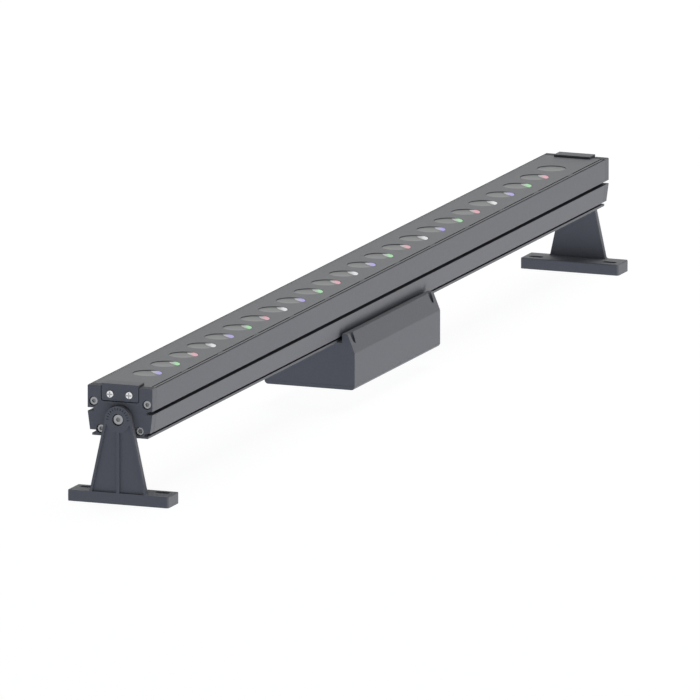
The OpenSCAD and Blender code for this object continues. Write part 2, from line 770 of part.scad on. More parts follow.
module driver_cover() color(paint) {
    difference() {
        union() {
            along_x(-box_end, box_end) base_outline();
            intersection() {
                corner_places() translate([0, 0, box_split - eps])
                    cylinder(h = corner_boss_h + eps, r = post_r);
                along_x(-box_end, box_end) band(box_half - box_wall - slip, box_bottom, box_top);
            }
            supply_screw_places() translate([0, 0, -supply_pad_h - eps])
                cylinder(h = supply_pad_h + eps, r = supply_ear / 2);
        }
        translate([0, 0, box_split - seal_h]) rim_frame(seal_in, seal_w, seal_h + eps);
        corner_places() translate([0, 0, corner_seat - corner_len - hole_end / 2])
            cylinder(h = corner_len, r = m3_r + fit);
        supply_screw_places() translate([0, 0, supply_ear_t - supply_screw_len - hole_end])
            cylinder(h = supply_screw_len, r = m3_r + fit);
        control_places() translate([0, 0, control_t - control_screw_len - hole_end])
            cylinder(h = control_screw_len, r = m3_r + fit);
    }
}

module driver_seal() color(rubber) translate([0, 0, box_split - seal_h]) rim_frame(seal_in, seal_w, seal_h);

module driver_corner_screws() color(steel) corner_places() translate([0, 0, corner_seat + m3_head_h])
    pointing_down() socket_screw(m3_r, m3_head_r, m3_head_h, corner_len, m3_hex_r);

module driver_fixing_screws() color(steel) fixing_places() translate([0, 0, box_roof - fixing_head_h])
    pointing_up() socket_screw(m4_r, fixing_head_r, fixing_head_h, fixing_len, m4_hex_r);

module slot_nuts() color(steel) fixing_places() translate([0, 0, bar_z + floor_t]) difference() {
    translate([-slot_nut_l / 2, -slot_nut_w / 2 + slot_nut_gap, 0])
        cube([slot_nut_l, slot_nut_w - 2 * slot_nut_gap, slot_nut_h - slot_nut_gap]);
    translate([0, 0, -eps]) cylinder(h = slot_nut_h + 2 * eps, r = m4_r + fit);
}

module power_supply() color([0.75, 0.76, 0.77]) difference() {
    translate([supply_x, 0, supply_z]) {
        translate([-supply_l / 2, -supply_w / 2, 0]) cube([supply_l, supply_w, supply_h]);
        translate([-supply_l / 2 - supply_ear, -supply_ear_half, 0])
            cube([supply_l + 2 * supply_ear, 2 * supply_ear_half, supply_ear_t]);
    }
    supply_screw_places() translate([0, 0, -eps]) cylinder(h = supply_ear_t + 2 * eps, r = m3_r + clear);
}

module supply_screws() color(steel) supply_screw_places() translate([0, 0, supply_ear_t])
    pointing_down() pan_screw(supply_screw_len);

module control_board() color(board_green) difference() {
    translate([control_x - control_l / 2, -control_w / 2, control_z]) cube([control_l, control_w, control_t]);
    control_places() translate([0, 0, -eps]) cylinder(h = control_t + 2 * eps, r = m3_r + clear);
}

module board_spacers() color(nickel) control_places() translate([0, 0, -spacer_h]) difference() {
    cylinder(h = spacer_h, r = spacer_r);
    translate([0, 0, -eps]) cylinder(h = spacer_h + 2 * eps, r = m3_r + clear);
}

module control_screws() color(steel) control_places() translate([0, 0, control_t])
    pointing_down() pan_screw(control_screw_len);

module terminal_block() color([0.15, 0.42, 0.24])
    translate([wire_x - terminal_l / 2, wire_y - terminal_w / 2, control_z + control_t])
        cube([terminal_l, terminal_w, terminal_h]);

// Short leads from the power supply to the terminal block.
module supply_leads() color(plastic_black) for (s = [-1, 1])
    rod_x(supply_x + supply_l / 2, wire_x - terminal_l / 2, wire_y + s * wire_gap, supply_wire_z, wire_r);

// Wires from the terminal block straight up to the circuit board over it.
module wire(s) translate([wire_x, wire_y + s * wire_gap / 2, terminal_top])
    cylinder(h = bar_z + shelf_z - terminal_top, r = wire_r);

module wire_grommet() color(rubber) translate([wire_x, wire_y, 0]) difference() {
    union() {
        translate([0, 0, box_roof - grommet_lip_t]) cylinder(h = grommet_lip_t, r = grommet_r + grommet_lip);
        translate([0, 0, box_roof - eps]) cylinder(h = box_wall + floor_t + eps, r = grommet_r);
    }
    translate([0, 0, box_roof - 2 * eps - grommet_lip_t])
        cylinder(h = box_wall + floor_t + grommet_lip_t + 4 * eps, r = grommet_bore);
}

module gland_body() color(plastic_black) difference() {
    union() {
        rod_x(gland_tail_x, gland_neck_x, 0, gland_z, gland_thread_r);
        hex_x(box_end, box_end + gland_hex_t, 0, gland_z, gland_hex_r);
    }
    rod_x(gland_tail_x - eps, box_end + gland_seat + eps, 0, gland_z, cable_r + 2 * clear);
    rod_x(box_end + gland_seat, gland_neck_x + eps, 0, gland_z, gland_seal_r + slip);
}

module gland_locknut() color(plastic_black) difference() {
    hex_x(box_end - box_wall - locknut_t, box_end - box_wall, 0, gland_z, gland_hex_r);
    rod_x(box_end - box_wall - locknut_t - eps, box_end - box_wall + eps, 0, gland_z, gland_thread_r + fit);
}

module gland_seal() color(rubber) difference() {
    rod_x(box_end + gland_seat, gland_shoulder_x, 0, gland_z, gland_seal_r);
    rod_x(box_end, gland_shoulder_x + eps, 0, gland_z, cable_r);
}

module gland_nut() color(plastic_black) {
    x0 = box_end + gland_hex_t + 1;
    x1 = x0 + gland_nut_l;
    difference() {
        union() {
            hex_x(x0, gland_shoulder_x, 0, gland_z, gland_hex_r);
            cone_x(gland_shoulder_x - eps, x1, 0, gland_z, gland_thread_r + 1.2, gland_seal_r + 1);
        }
        rod_x(x0 - eps, gland_shoulder_x, 0, gland_z, gland_thread_r + fit);
        rod_x(gland_shoulder_x - eps, x1 + eps, 0, gland_z, cable_r + clear);
    }
}

housing();
cover_plate();
cover_gasket();
lens_array(1);  // lens_array_1
lens_array(2);  // lens_array_2
lens_array(3);  // lens_array_3
lens_array(4);  // lens_array_4
lens_array(5);  // lens_array_5
lens_array(6);  // lens_array_6
led_board(1);  // led_board_1
led_board(2);  // led_board_2
led_board(3);  // led_board_3
led_board(4);  // led_board_4
led_board(5);  // led_board_5
led_board(6);  // led_board_6
leds(0, [0.45, 0.40, 0.95]);  // leds_blue
leds(1, [0.35, 0.85, 0.40]);  // leds_green
leds(2, [0.90, 0.35, 0.40]);  // leds_red
leds(3, [0.98, 0.98, 0.96]);  // leds_white
board_links();
board_screws();
color(paint) left() end_cap();  // left_end_cap
color(paint) end_cap();  // right_end_cap
color(rubber) left() cap_gasket();  // left_cap_gasket
color(rubber) cap_gasket();  // right_cap_gasket
cap_screws();
color(paint_light) left() cover_clip();  // left_cover_clip
color(paint_light) cover_clip();  // right_cover_clip
color(rubber) left() clip_pad();  // left_clip_pad
color(rubber) clip_pad();  // right_clip_pad
clip_screws();
color(paint) left() bracket();  // left_bracket
color(paint) bracket();  // right_bracket
color(steel) left() pivot_bolt();  // left_pivot_bolt
color(steel) pivot_bolt();  // right_pivot_bolt
color(nickel) left() pivot_washer();  // left_pivot_washer
color(nickel) pivot_washer();  // right_pivot_washer
driver_housing();
driver_cover();
driver_seal();
driver_corner_screws();
driver_fixing_screws();
slot_nuts();
power_supply();
supply_screws();
control_board();
board_spacers();
control_screws();
terminal_block();
supply_leads();
color([0.75, 0.12, 0.10]) wire(1);  // wire_positive
color(plastic_black) wire(-1);  // wire_negative
wire_grommet();
gland_body();
gland_locknut();
gland_seal();
gland_nut();
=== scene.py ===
# %% [markdown]
# # An outdoor wall washer light
# A wall washer stands along the foot of a wall and washes it with coloured light. This one is a metre
# long: an extruded aluminium bar with 24 lenses, tilting between two slotted brackets, with a driver box
# under its middle. The engineering model is loaded first and never moves, and everything that Blender
# adds is built round it, in metres, at the same place.

# %% Loading the engineering model
import json
import math

import bmesh
import bpy
from mathutils import Matrix, Vector

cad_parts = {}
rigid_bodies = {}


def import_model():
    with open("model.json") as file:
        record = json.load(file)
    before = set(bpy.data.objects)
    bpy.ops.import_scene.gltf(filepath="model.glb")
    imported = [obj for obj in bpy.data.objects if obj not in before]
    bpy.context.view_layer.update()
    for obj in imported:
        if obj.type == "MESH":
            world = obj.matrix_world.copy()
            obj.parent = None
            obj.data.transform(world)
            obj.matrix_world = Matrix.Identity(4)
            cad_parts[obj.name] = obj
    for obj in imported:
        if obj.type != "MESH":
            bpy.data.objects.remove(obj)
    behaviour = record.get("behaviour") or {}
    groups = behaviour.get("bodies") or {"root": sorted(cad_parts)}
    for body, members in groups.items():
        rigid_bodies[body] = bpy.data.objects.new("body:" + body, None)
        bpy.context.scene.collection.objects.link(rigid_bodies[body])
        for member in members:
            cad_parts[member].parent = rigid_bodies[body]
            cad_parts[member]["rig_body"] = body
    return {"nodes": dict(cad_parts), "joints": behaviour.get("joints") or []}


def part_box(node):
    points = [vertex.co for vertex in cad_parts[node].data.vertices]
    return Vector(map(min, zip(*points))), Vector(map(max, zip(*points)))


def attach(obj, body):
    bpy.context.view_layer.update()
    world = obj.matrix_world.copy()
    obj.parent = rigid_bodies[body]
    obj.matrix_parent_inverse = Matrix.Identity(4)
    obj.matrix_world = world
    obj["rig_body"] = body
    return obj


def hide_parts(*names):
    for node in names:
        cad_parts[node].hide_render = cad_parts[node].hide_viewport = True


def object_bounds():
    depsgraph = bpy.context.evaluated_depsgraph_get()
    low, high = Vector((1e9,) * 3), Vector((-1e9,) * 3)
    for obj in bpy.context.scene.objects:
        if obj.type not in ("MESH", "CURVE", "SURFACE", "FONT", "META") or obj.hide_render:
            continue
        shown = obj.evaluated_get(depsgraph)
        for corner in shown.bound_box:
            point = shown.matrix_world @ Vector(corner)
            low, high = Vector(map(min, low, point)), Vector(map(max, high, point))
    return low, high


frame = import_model()
cad_low, cad_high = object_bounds()
MM = 0.001
sides = [round(side / MM, 1) for side in cad_high - cad_low]
print("engineering model:", len(frame["nodes"]), "nodes,", sides, "mm")

# %% [markdown]
# ## The camera
# The photograph was taken with almost no perspective, as with a very long lens from far away: both
# brackets are the same size in it. So the camera stands far off with a long lens, and its turn, rise and
# scale come from the slopes of the bar's edges in the photograph.

# %% Camera
PHOTO_PIXELS = 700
PIXELS_PER_MM = 1.2575
CAMERA_TURN = math.radians(-68.68)
CAMERA_RISE = math.radians(11.53)
LENS_MM = 1700
SENSOR_MM = 36
PHOTO_MIDDLE = Vector((-5.7, 0, 28.4)) * MM       # the point that shows in the middle of the photograph

scene = bpy.context.scene
photo_width = PHOTO_PIXELS / PIXELS_PER_MM * MM
camera_distance = photo_width * LENS_MM / SENSOR_MM
camera_back = Vector((
    math.sin(CAMERA_TURN) * math.cos(CAMERA_RISE),
    -math.cos(CAMERA_TURN) * math.cos(CAMERA_RISE),
    math.sin(CAMERA_RISE)))
camera = bpy.data.objects.new("camera", bpy.data.cameras.new("camera"))
camera.data.lens = LENS_MM
camera.data.sensor_width = SENSOR_MM
camera.data.clip_start = camera_distance / 10
camera.data.clip_end = camera_distance * 2
camera.location = PHOTO_MIDDLE + camera_back * camera_distance
camera.rotation_euler = camera_back.to_track_quat("Z", "Y").to_euler()
scene.collection.objects.link(camera)
scene.camera = camera
print("camera:", round(camera_distance, 2), "m away, seeing", round(photo_width, 3), "m across")

# %% [markdown]
# ## Nodes and colours
# Each material and each Geometry Nodes tree below is written with one small function that adds a node,
# sets its fields and sockets, and links what comes in. Colours are written as the sRGB hex values that a
# paint chart gives, and are turned to the linear values that Blender reckons with.


# %% Helpers for colours and nodes
def linear(colour):
    """The linear colour of an sRGB hex value such as "7b7c7e"."""
    parts = [int(colour[at:at + 2], 16) / 255 for at in (0, 2, 4)]
    return [part / 12.92 if part <= 0.04045 else ((part + 0.055) / 1.055) ** 2.4 for part in parts] + [1.0]


def add(tree, kind, settings=None, links=None):
    """Adds a node. A setting goes to the field of that name, or else to the socket of that name or number.
    A link goes to a socket."""
    made = tree.nodes.new(kind)
    for name, value in (settings or {}).items():
        if isinstance(name, str) and hasattr(made, name):
            setattr(made, name, value)
        else:
            made.inputs[name].default_value = value
    for name, source in (links or {}).items():
        tree.links.new(source, made.inputs[name])
    return made


def new_material(name):
    """An empty material, its node tree and the coordinates that its patterns follow."""
    material = bpy.data.materials.new(name)
    material.use_nodes = True
    tree = material.node_tree
    tree.nodes.clear()
    return material, tree, add(tree, "ShaderNodeTexCoord").outputs["Object"]


def set_surface(tree, shader):
    """Ends a material's tree in its surface output."""
    add(tree, "ShaderNodeOutputMaterial", links={"Surface": shader.outputs[0]})


print("grey 808080 is", round(linear("808080")[0], 3), "in linear light")

# %% [markdown]
# ## Floor, backdrop and lamps
# The object stands on a white table in a soft studio. The floor shows white to the camera and in
# reflections, and keeps a faint shadow. Much of the light is cool and even and comes up off the table: it
# alone lights all that faces the near end, and it is darkest in the corners. Two large lamps stand towards
# the far end, one overhead and one low in front, and make the top and the long side equally bright.

# %% Floor
FLOOR_SIZE = 30             # in metres
FLOOR_COLOUR = "626262"     # the shadow is drawn in this
FLOOR_GLOW = 0.95           # and this much white is added where it is seen


def seen_directly(tree):
    """1 for camera, mirror and see-through rays, and 0 for the rays that carry light between surfaces."""
    path = add(tree, "ShaderNodeLightPath")
    either = add(tree, "ShaderNodeMath", {"operation": "MAXIMUM"}, {
        0: path.outputs["Is Camera Ray"], 1: path.outputs["Is Glossy Ray"]})
    return add(tree, "ShaderNodeMath", {"operation": "MAXIMUM"}, {
        0: either.outputs[0], 1: path.outputs["Is Transmission Ray"]}).outputs[0]


def make_floor():
    """A wide white table. Its light on the object comes from the backdrop's lower half instead."""
    bpy.ops.mesh.primitive_plane_add(size=FLOOR_SIZE)
    floor = bpy.context.object
    floor.name = "floor"
    material, tree, _ = new_material("white studio table")
    matt = add(tree, "ShaderNodeBsdfDiffuse", {"Color": linear(FLOOR_COLOUR)})
    glow = add(tree, "ShaderNodeEmission", {"Color": linear("ffffff"), "Strength": FLOOR_GLOW})
    white = add(tree, "ShaderNodeAddShader", links={0: matt.outputs[0], 1: glow.outputs[0]})
    set_surface(tree, add(tree, "ShaderNodeMixShader", links={
        0: seen_directly(tree), 1: matt.outputs[0], 2: white.outputs[0]}))
    floor.data.materials.append(material)
    floor.visible_diffuse = False
    floor.visible_shadow = False


make_floor()
print("floor:", FLOOR_SIZE, "m wide")

# %% Backdrop
TABLE_LEVEL = 0.773         # of the light from below
ROOM_LEVEL = 0.10           # and of the light from above
ROOM_COLOUR = "e2eaff"
HORIZON = 0.05              # one turns into the other this far round the horizon


def make_backdrop():
    """A world that is white to look at and lights the object mostly from below."""
    world = bpy.data.worlds.new("studio")
    world.use_nodes = True
    tree = world.node_tree
    tree.nodes.clear()
    towards = add(tree, "ShaderNodeTexCoord").outputs["Generated"]
    way = add(tree, "ShaderNodeSeparateXYZ", links={0: towards})
    level = add(tree, "ShaderNodeMapRange", {
        "From Min": -HORIZON, "From Max": HORIZON, "To Min": TABLE_LEVEL, "To Max": ROOM_LEVEL}, {
        "Value": way.outputs["Z"]})
    dim = add(tree, "ShaderNodeBackground", {"Color": linear(ROOM_COLOUR)}, {"Strength": level.outputs[0]})
    white = add(tree, "ShaderNodeBackground", {"Color": linear("ffffff"), "Strength": 1.0})
    mixed = add(tree, "ShaderNodeMixShader", links={
        0: seen_directly(tree), 1: dim.outputs[0], 2: white.outputs[0]})
    add(tree, "ShaderNodeOutputWorld", links={"Surface": mixed.outputs[0]})
    scene.world = world


make_backdrop()
scene.view_settings.view_transform = "Standard"
print("backdrop: level", TABLE_LEVEL, "from below and", ROOM_LEVEL, "from above")

# %% Softboxes
LAMP_DISTANCE = 8           # in metres


def softbox(name, direction, size, level, colour):
    """A square lamp facing the light bar. At level 1 a matt surface that faces it shows its own colour."""
    towards = Vector(direction).normalized()
    lamp = bpy.data.lights.new(name, "AREA")
    lamp.size = size
    lamp.energy = level * math.pi ** 2 * LAMP_DISTANCE ** 2
    lamp.color = linear(colour)[:3]
    holder = bpy.data.objects.new(name, lamp)
    holder.location = Vector((0, 0, cad_high.z / 2)) + towards * LAMP_DISTANCE
    holder.rotation_euler = towards.to_track_quat("Z", "Y").to_euler()
    holder.visible_camera = False
    scene.collection.objects.link(holder)


softbox("overhead_softbox", (0.45, 0.00, 0.89), size=6.5, level=0.535, colour="fefffd")
softbox("front_softbox", (0.15, -0.75, -0.65), size=5.0, level=0.60, colour="fff9ef")

# %% [markdown]
# ## Materials
# Nearly all that shows is aluminium with a grey powder coat: a paint that is sprayed on dry and baked. It
# is matt, slightly pebbled where the powder flowed together, and a little lighter and darker from grain to
# grain. The real grains are under a millimetre wide, so they are drawn somewhat larger to show at all.
# The bottoms of slots and engraved marks are painted darker and duller, as painted shade where shade falls
# in them.

# %% Powder coat
POWDER_GRAIN = 1.1 * MM
POWDER_PEBBLE = 2.6 * MM
POWDER_RELIEF = 0.012 * MM
POWDER_UNEVEN = 0.06        # how far its roughness varies


def powder_coat(name, dark, light, roughness):
    """Baked powder paint: fine grains of two near greys over soft pebbles."""
    material, tree, place = new_material(name)
    grain = add(tree, "ShaderNodeTexNoise", {"Scale": 1 / POWDER_GRAIN, "Detail": 1.0}, {"Vector": place})
    pebble = add(tree, "ShaderNodeTexNoise", {"Scale": 1 / POWDER_PEBBLE, "Detail": 1.0}, {"Vector": place})
    colour = add(tree, "ShaderNodeMix", {"data_type": "RGBA", 6: linear(dark), 7: linear(light)}, {
        0: grain.outputs["Fac"]})
    rough = add(tree, "ShaderNodeMapRange", {
        "To Min": roughness - POWDER_UNEVEN, "To Max": roughness + POWDER_UNEVEN}, {
        "Value": pebble.outputs["Fac"]})
    relief = add(tree, "ShaderNodeBump", {"Distance": POWDER_RELIEF, "Strength": 0.6}, {
        "Height": pebble.outputs["Fac"]})
    shader = add(tree, "ShaderNodeBsdfPrincipled", {"IOR": 1.5, "Specular IOR Level": 0.25}, {
        "Base Color": colour.outputs[2], "Roughness": rough.outputs[0], "Normal": relief.outputs[0]})
    set_surface(tree, shader)
    return material


# painted shade: darker, duller coats for the insides of slots and of engraved marks
slot_shade_paint = powder_coat("powder coat darkened with painted shade in slots", "414246", "48494d", roughness=0.7)
mark_shade_paint = powder_coat("powder coat darkened with painted shade in marks", "343537", "3b3c3e", roughness=0.7)
extrusion_paint = powder_coat("powder coat on extruded aluminium", "707174", "78797c", roughness=0.55)
casting_paint = powder_coat("powder coat on die-cast aluminium", "6f7073", "797a7d", roughness=0.62)
print("paints:", extrusion_paint.name, "/", casting_paint.name)

# %% [markdown]
# The rest are small things: acrylic lenses with a smoky grey cast, silicone rubber, nylon, wire, circuit
# boards, and stainless and nickel-plated screws. Moulded plastic has a dull, slightly uneven skin, and a
# circuit board shows its copper tracks through the lacquer. Turned steel keeps the fine marks of the tool.


# %% Plastics and rubber
def moulded(name, dark, light, grain, roughness, specular=0.5, sheen=0.0):
    """Moulded plastic or rubber: one colour, slightly uneven, with a fine skin."""
    material, tree, place = new_material(name)
    skin = add(tree, "ShaderNodeTexNoise", {"Scale": 1 / grain, "Detail": 2.0}, {"Vector": place})
    colour = add(tree, "ShaderNodeMix", {"data_type": "RGBA", 6: linear(dark), 7: linear(light)}, {
        0: skin.outputs["Fac"]})
    relief = add(tree, "ShaderNodeBump", {"Distance": grain / 60, "Strength": 0.5}, {
        "Height": skin.outputs["Fac"]})
    shader = add(tree, "ShaderNodeBsdfPrincipled", {
        "Roughness": roughness, "IOR": 1.49, "Specular IOR Level": specular, "Sheen Weight": sheen}, {
        "Base Color": colour.outputs[2], "Normal": relief.outputs[0]})
    set_surface(tree, shader)
    return material


lens_acrylic = moulded("smoky grey acrylic", "606162", "666767", 4 * MM, roughness=0.30, specular=0.3)
silicone = moulded("black silicone rubber", "1b1c1e", "242527", 0.8 * MM, roughness=0.75, sheen=0.1)
grey_silicone = moulded("grey silicone rubber", "58595c", "616265", 0.8 * MM, roughness=0.75, sheen=0.1)
black_nylon = moulded("black moulded nylon", "17181a", "202124", 1.2 * MM, roughness=0.5)
green_nylon = moulded("green moulded nylon", "1f6b3c", "277a46", 1.2 * MM, roughness=0.45)
red_pvc = moulded("red wire insulation", "a01d18", "b0241e", 1.0 * MM, roughness=0.4)
grey_resin = moulded("light grey potting case", "b3b5b8", "bdbfc1", 1.5 * MM, roughness=0.55)
blue_dome = moulded("blue silicone dome", "3454c8", "3f60d2", 0.6 * MM, roughness=0.25)
green_dome = moulded("green silicone dome", "2f9e4f", "38aa59", 0.6 * MM, roughness=0.25)
red_dome = moulded("red silicone dome", "c8342c", "d23f36", 0.6 * MM, roughness=0.25)
white_dome = moulded("yellowish white silicone dome", "e6e2c6", "efebd2", 0.6 * MM, roughness=0.25)
print(len(bpy.data.materials), "materials so far")


# %% Circuit boards
def circuit_board(name, lacquer, track, pitch):
    """Lacquered board with copper tracks that show as a grid of slightly raised lines."""
    material, tree, place = new_material(name)
    tracks = add(tree, "ShaderNodeTexBrick", {
        "Color1": linear(lacquer), "Color2": linear(lacquer), "Mortar": linear(track), "Scale": 1 / pitch,
        "Mortar Size": 0.03, "Mortar Smooth": 0.2}, {"Vector": place})
    shader = add(tree, "ShaderNodeBsdfPrincipled", {"Roughness": 0.35, "IOR": 1.5}, {
        "Base Color": tracks.outputs["Color"]})
    set_surface(tree, shader)
    return material


white_board = circuit_board("white lacquered circuit board", "e4e6e3", "d2d4d0", 6 * MM)
green_board = circuit_board("green lacquered circuit board", "1d5c33", "2f7a48", 5 * MM)
print("boards:", white_board.name, "/", green_board.name)

# %% Machined steel
TOOL_MARK = 0.25 * MM
TOOL_UNEVEN = 0.08          # how far the roughness varies from mark to mark


def machined(name, dark, light, socket, roughness):
    """Machined steel: fine marks of the tool vary its shine, and the socket is painted darker, as painted
    shade.
    """
    material, tree, place = new_material(name)
    marks = add(tree, "ShaderNodeTexNoise", {"Scale": 1 / TOOL_MARK, "Detail": 1.0}, {"Vector": place})
    colour = add(tree, "ShaderNodeMix", {"data_type": "RGBA", 6: linear(dark), 7: linear(light)}, {
        0: marks.outputs["Fac"]})
    rough = add(tree, "ShaderNodeMapRange", {
        "To Min": roughness - TOOL_UNEVEN, "To Max": roughness + TOOL_UNEVEN}, {
        "Value": marks.outputs["Fac"]})
    # the faces in a socket are darkened as painted shade
    inside = add(tree, "ShaderNodeAttribute", {"attribute_name": "socket"})
    shaded = add(tree, "ShaderNodeMix", {"data_type": "RGBA", 7: linear(socket)}, {
        0: inside.outputs["Fac"], 6: colour.outputs[2]})
    shader = add(tree, "ShaderNodeBsdfPrincipled", {"Metallic": 1.0}, {
        "Base Color": shaded.outputs[2], "Roughness": rough.outputs[0]})
    set_surface(tree, shader)
    return material


# the third colour is the painted shade in the sockets
stainless = machined("turned stainless steel", "97989a", "a0a1a3", "747578", roughness=0.40)
nickel = machined("nickel-plated steel", "e0e1e4", "e7e8ea", "a2a3a7", roughness=0.24)
print("steels:", stainless.name, "/", nickel.name)

# %% [markdown]
# ## Reading places from the engineering model
# Several nodes hold a group of like solids, such as the eight screws of the end caps. Flooding along the
# edges finds each solid, and its box says where the detailed copy goes.

# %% Solids of a node
WELD = 0.0005 * MM          # points this close together are one point


def merged(node):
    """A copy of a node's mesh whose loose triangles are joined up."""
    shape = bmesh.new()
    shape.from_mesh(frame["nodes"][node].data)
    bmesh.ops.remove_doubles(shape, verts=shape.verts, dist=WELD)
    return shape


def solids_of(node):
    """The lowest and highest corner of each separate solid in a node, in order of place."""
    shape = merged(node)
    waiting = set(shape.verts)
    boxes = []
    while waiting:
        found = {waiting.pop()}
        fresh = list(found)
        while fresh:
            point = fresh.pop()
            for edge in point.link_edges:
                other = edge.other_vert(point)
                if other not in found:
                    found.add(other)
                    fresh.append(other)
        waiting -= found
        low = Vector([min(point.co[axis] for point in found) for axis in range(3)])
        high = Vector([max(point.co[axis] for point in found) for axis in range(3)])
        boxes.append((low, high))
    shape.free()
    return sorted(boxes, key=lambda box: tuple(round(v, 6) for v in (*box[0], *box[1])))


print("cap screws:", len(solids_of("cap_screws")), "clip screws:", len(solids_of("clip_screws")))

# %% [markdown]
# ## Castings and extrusions with soft edges
# No painted metal edge is knife sharp: the tumbler and the paint leave it with a radius of a few tenths of
# a millimetre, which catches the light as a thin line. So each painted node is copied, its flat faces are
# joined, and its sharp edges are bevelled. Normals are weighted by face size, which keeps the flats flat.

# %% Finishing a piece
CREASE = math.radians(50)   # faces that meet at more than this are shaded apart


def body_of(node):
    """The body that a node of the engineering model rides on."""
    return frame["nodes"][node]["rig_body"]


def finished(shape, name, materials, body, replaced=()):
    """Makes a mesh object from a bmesh, lets it ride on its body and hides the nodes it stands for."""
    mesh = bpy.data.meshes.new(name)
    for edge in shape.edges:
        edge.smooth = not edge.is_manifold or edge.calc_face_angle() < CREASE
    shape.to_mesh(mesh)
    shape.free()
    for material in materials:
        mesh.materials.append(material)
    mesh.polygons.foreach_set("use_smooth", [True] * len(mesh.polygons))
    piece = bpy.data.objects.new(name, mesh)
    scene.collection.objects.link(piece)
    piece.modifiers.new("flat_faces_stay_flat", "WEIGHTED_NORMAL").keep_sharp = True
    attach(piece, body)
    if replaced:
        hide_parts(*replaced)
    return piece


print("bodies:", sorted({body_of(node) for node in frame["nodes"]}))

# %% Softening edges
FLAT = math.radians(0.2)    # faces that meet at less than this are one flat face
SHARP = math.radians(14)    # and edges where they meet at more than this are rounded
BEVEL_STEPS = 2
EDGE = 0.35 * MM
FINE_EDGE = 0.2 * MM


def join_flats(shape):
    """Joins the pieces of each flat face."""
    bmesh.ops.dissolve_limit(shape, angle_limit=FLAT, verts=shape.verts, edges=shape.edges)


def round_edges(shape, width, skip=None):
    """Rounds the sharp edges of a shape to that width, apart from those that skip names."""
    sharp = [edge for edge in shape.edges
             if edge.is_manifold and edge.calc_face_angle() > SHARP and not (skip and skip(edge))]
    bmesh.ops.bevel(shape, geom=sharp, offset=width, segments=BEVEL_STEPS, profile=0.5, affect="EDGES",
                    clamp_overlap=True)


def softened(node, name, width, paints, skip=None, second=None, recut=None):
    """A painted node again, with its sharp edges rounded to that width, apart from those that skip names.
    Recut changes the copy first, and the faces that second names get the second paint."""
    shape = merged(node)
    join_flats(shape)
    if recut:
        recut(shape)
    round_edges(shape, width, skip)
    for face in shape.faces:
        face.material_index = 1 if second and second(face) else 0
    piece = finished(shape, name, paints, body_of(node), [node])
    print(name, len(piece.data.polygons), "faces")


print("edge radii:", [round(width / MM, 2) for width in (EDGE, FINE_EDGE)], "mm")

# %% [markdown]
# The bar is pressed through a die, and only its outermost long edges are worn round. Three grooves run
# along each side: two in its wall, and a narrow one in the rim, so fine that it is cut only here.

# %% Rims of the bar
NEAR = 0.02 * MM            # a point this close to a plane lies on it
SQUARE = 0.99               # a normal with more than this along an axis follows it
RIM_DROP = 0.3 * MM         # the front rim lies this much below the cover
LINE_INNER = 25.85 * MM     # the narrow groove along each rim, from the bar's middle
LINE_OUTER = 26.88 * MM
LINE_DEPTH = 0.8 * MM
bar_low, bar_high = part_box("housing")


def looks_up(face):
    """True for a face that looks straight up."""
    return face.normal.z > SQUARE


def recut_rims(shape):
    """Sets the front rim of the bar a little below the cover, and sinks a narrow groove along both rims."""
    for point in shape.verts:
        if point.co.y < 0 and point.co.z > bar_high.z - NEAR:
            point.co.z -= RIM_DROP
    for side in (-1, 1):
        for out in (LINE_INNER, LINE_OUTER):
            everything = shape.verts[:] + shape.edges[:] + shape.faces[:]
            bmesh.ops.bisect_plane(shape, geom=everything, dist=WELD, plane_co=(0, side * out, 0),
                                   plane_no=(0, side, 0))
    strips = []
    for face in filter(looks_up, shape.faces):
        middle = face.calc_center_median()
        if middle.z > bar_high.z - RIM_DROP - NEAR and LINE_INNER < abs(middle.y) < LINE_OUTER:
            strips.append(face)
    sunk = bmesh.ops.extrude_face_region(shape, geom=strips)["geom"]
    bmesh.ops.translate(shape, vec=(0, 0, -LINE_DEPTH),
                        verts=[item for item in sunk if isinstance(item, bmesh.types.BMVert)])
    bmesh.ops.delete(shape, geom=strips, context="FACES")


print("bar:", [round(side / MM, 1) for side in bar_high - bar_low], "mm")

# %% Grooves and long edges of the bar
GROOVES = ((1.8 * MM, 4.3 * MM), (19.1 * MM, 21.8 * MM))    # bottoms and tops, above the bar's underside
GROOVE_LIP = 0.3 * MM       # the painted shade starts this far into them
WHOLE_BAR = 100 * MM        # only edges that run all along the bar are longer than this


def deep_in_groove(face):
    """True for the inside of the side grooves and of the narrow grooves along the rims, which get painted
    shade.
    """
    middle = face.calc_center_median()
    out = abs(middle.y)
    rim = bar_high.z - (RIM_DROP if middle.y < 0 else 0)
    across = LINE_INNER - NEAR < out < LINE_OUTER + NEAR
    in_line = across and rim - LINE_DEPTH - NEAR < middle.z < rim - NEAR
    height = middle.z - bar_low.z
    in_side = any(low - NEAR < height < high + NEAR for low, high in GROOVES)
    return in_line or (in_side and out < bar_high.y - GROOVE_LIP)


def off_the_outside(edge):
    """True for all edges but the outermost long ones of the bar: the rest are crisp or lie hidden."""
    inner = min(abs(point.co.y) for point in edge.verts)
    return edge.calc_length() < WHOLE_BAR or inner < LINE_OUTER + NEAR


print("side grooves:", 2 * len(GROOVES))

# %% [markdown]
# A bracket is a casting with a tilt scale round its bolt and two shallow panels in its upright. The marks
# of the scale are narrower than a rounded edge, so they stay crisp, and are painted dark as painted shade.

# %% Tilt scale and panels of the brackets
pivot_height = frame["joints"][0]["pos_m"][2]
SCALE_INNER = 7.3 * MM      # the marks lie between these distances from the bolt's axis
SCALE_OUTER = 9.9 * MM
MARK_TRIM = 0.15            # each end of a mark is drawn in by this share
PANEL_FLOOR = 504.1 * MM    # from the middle of the light
PANEL_DEEPER = 0.6 * MM


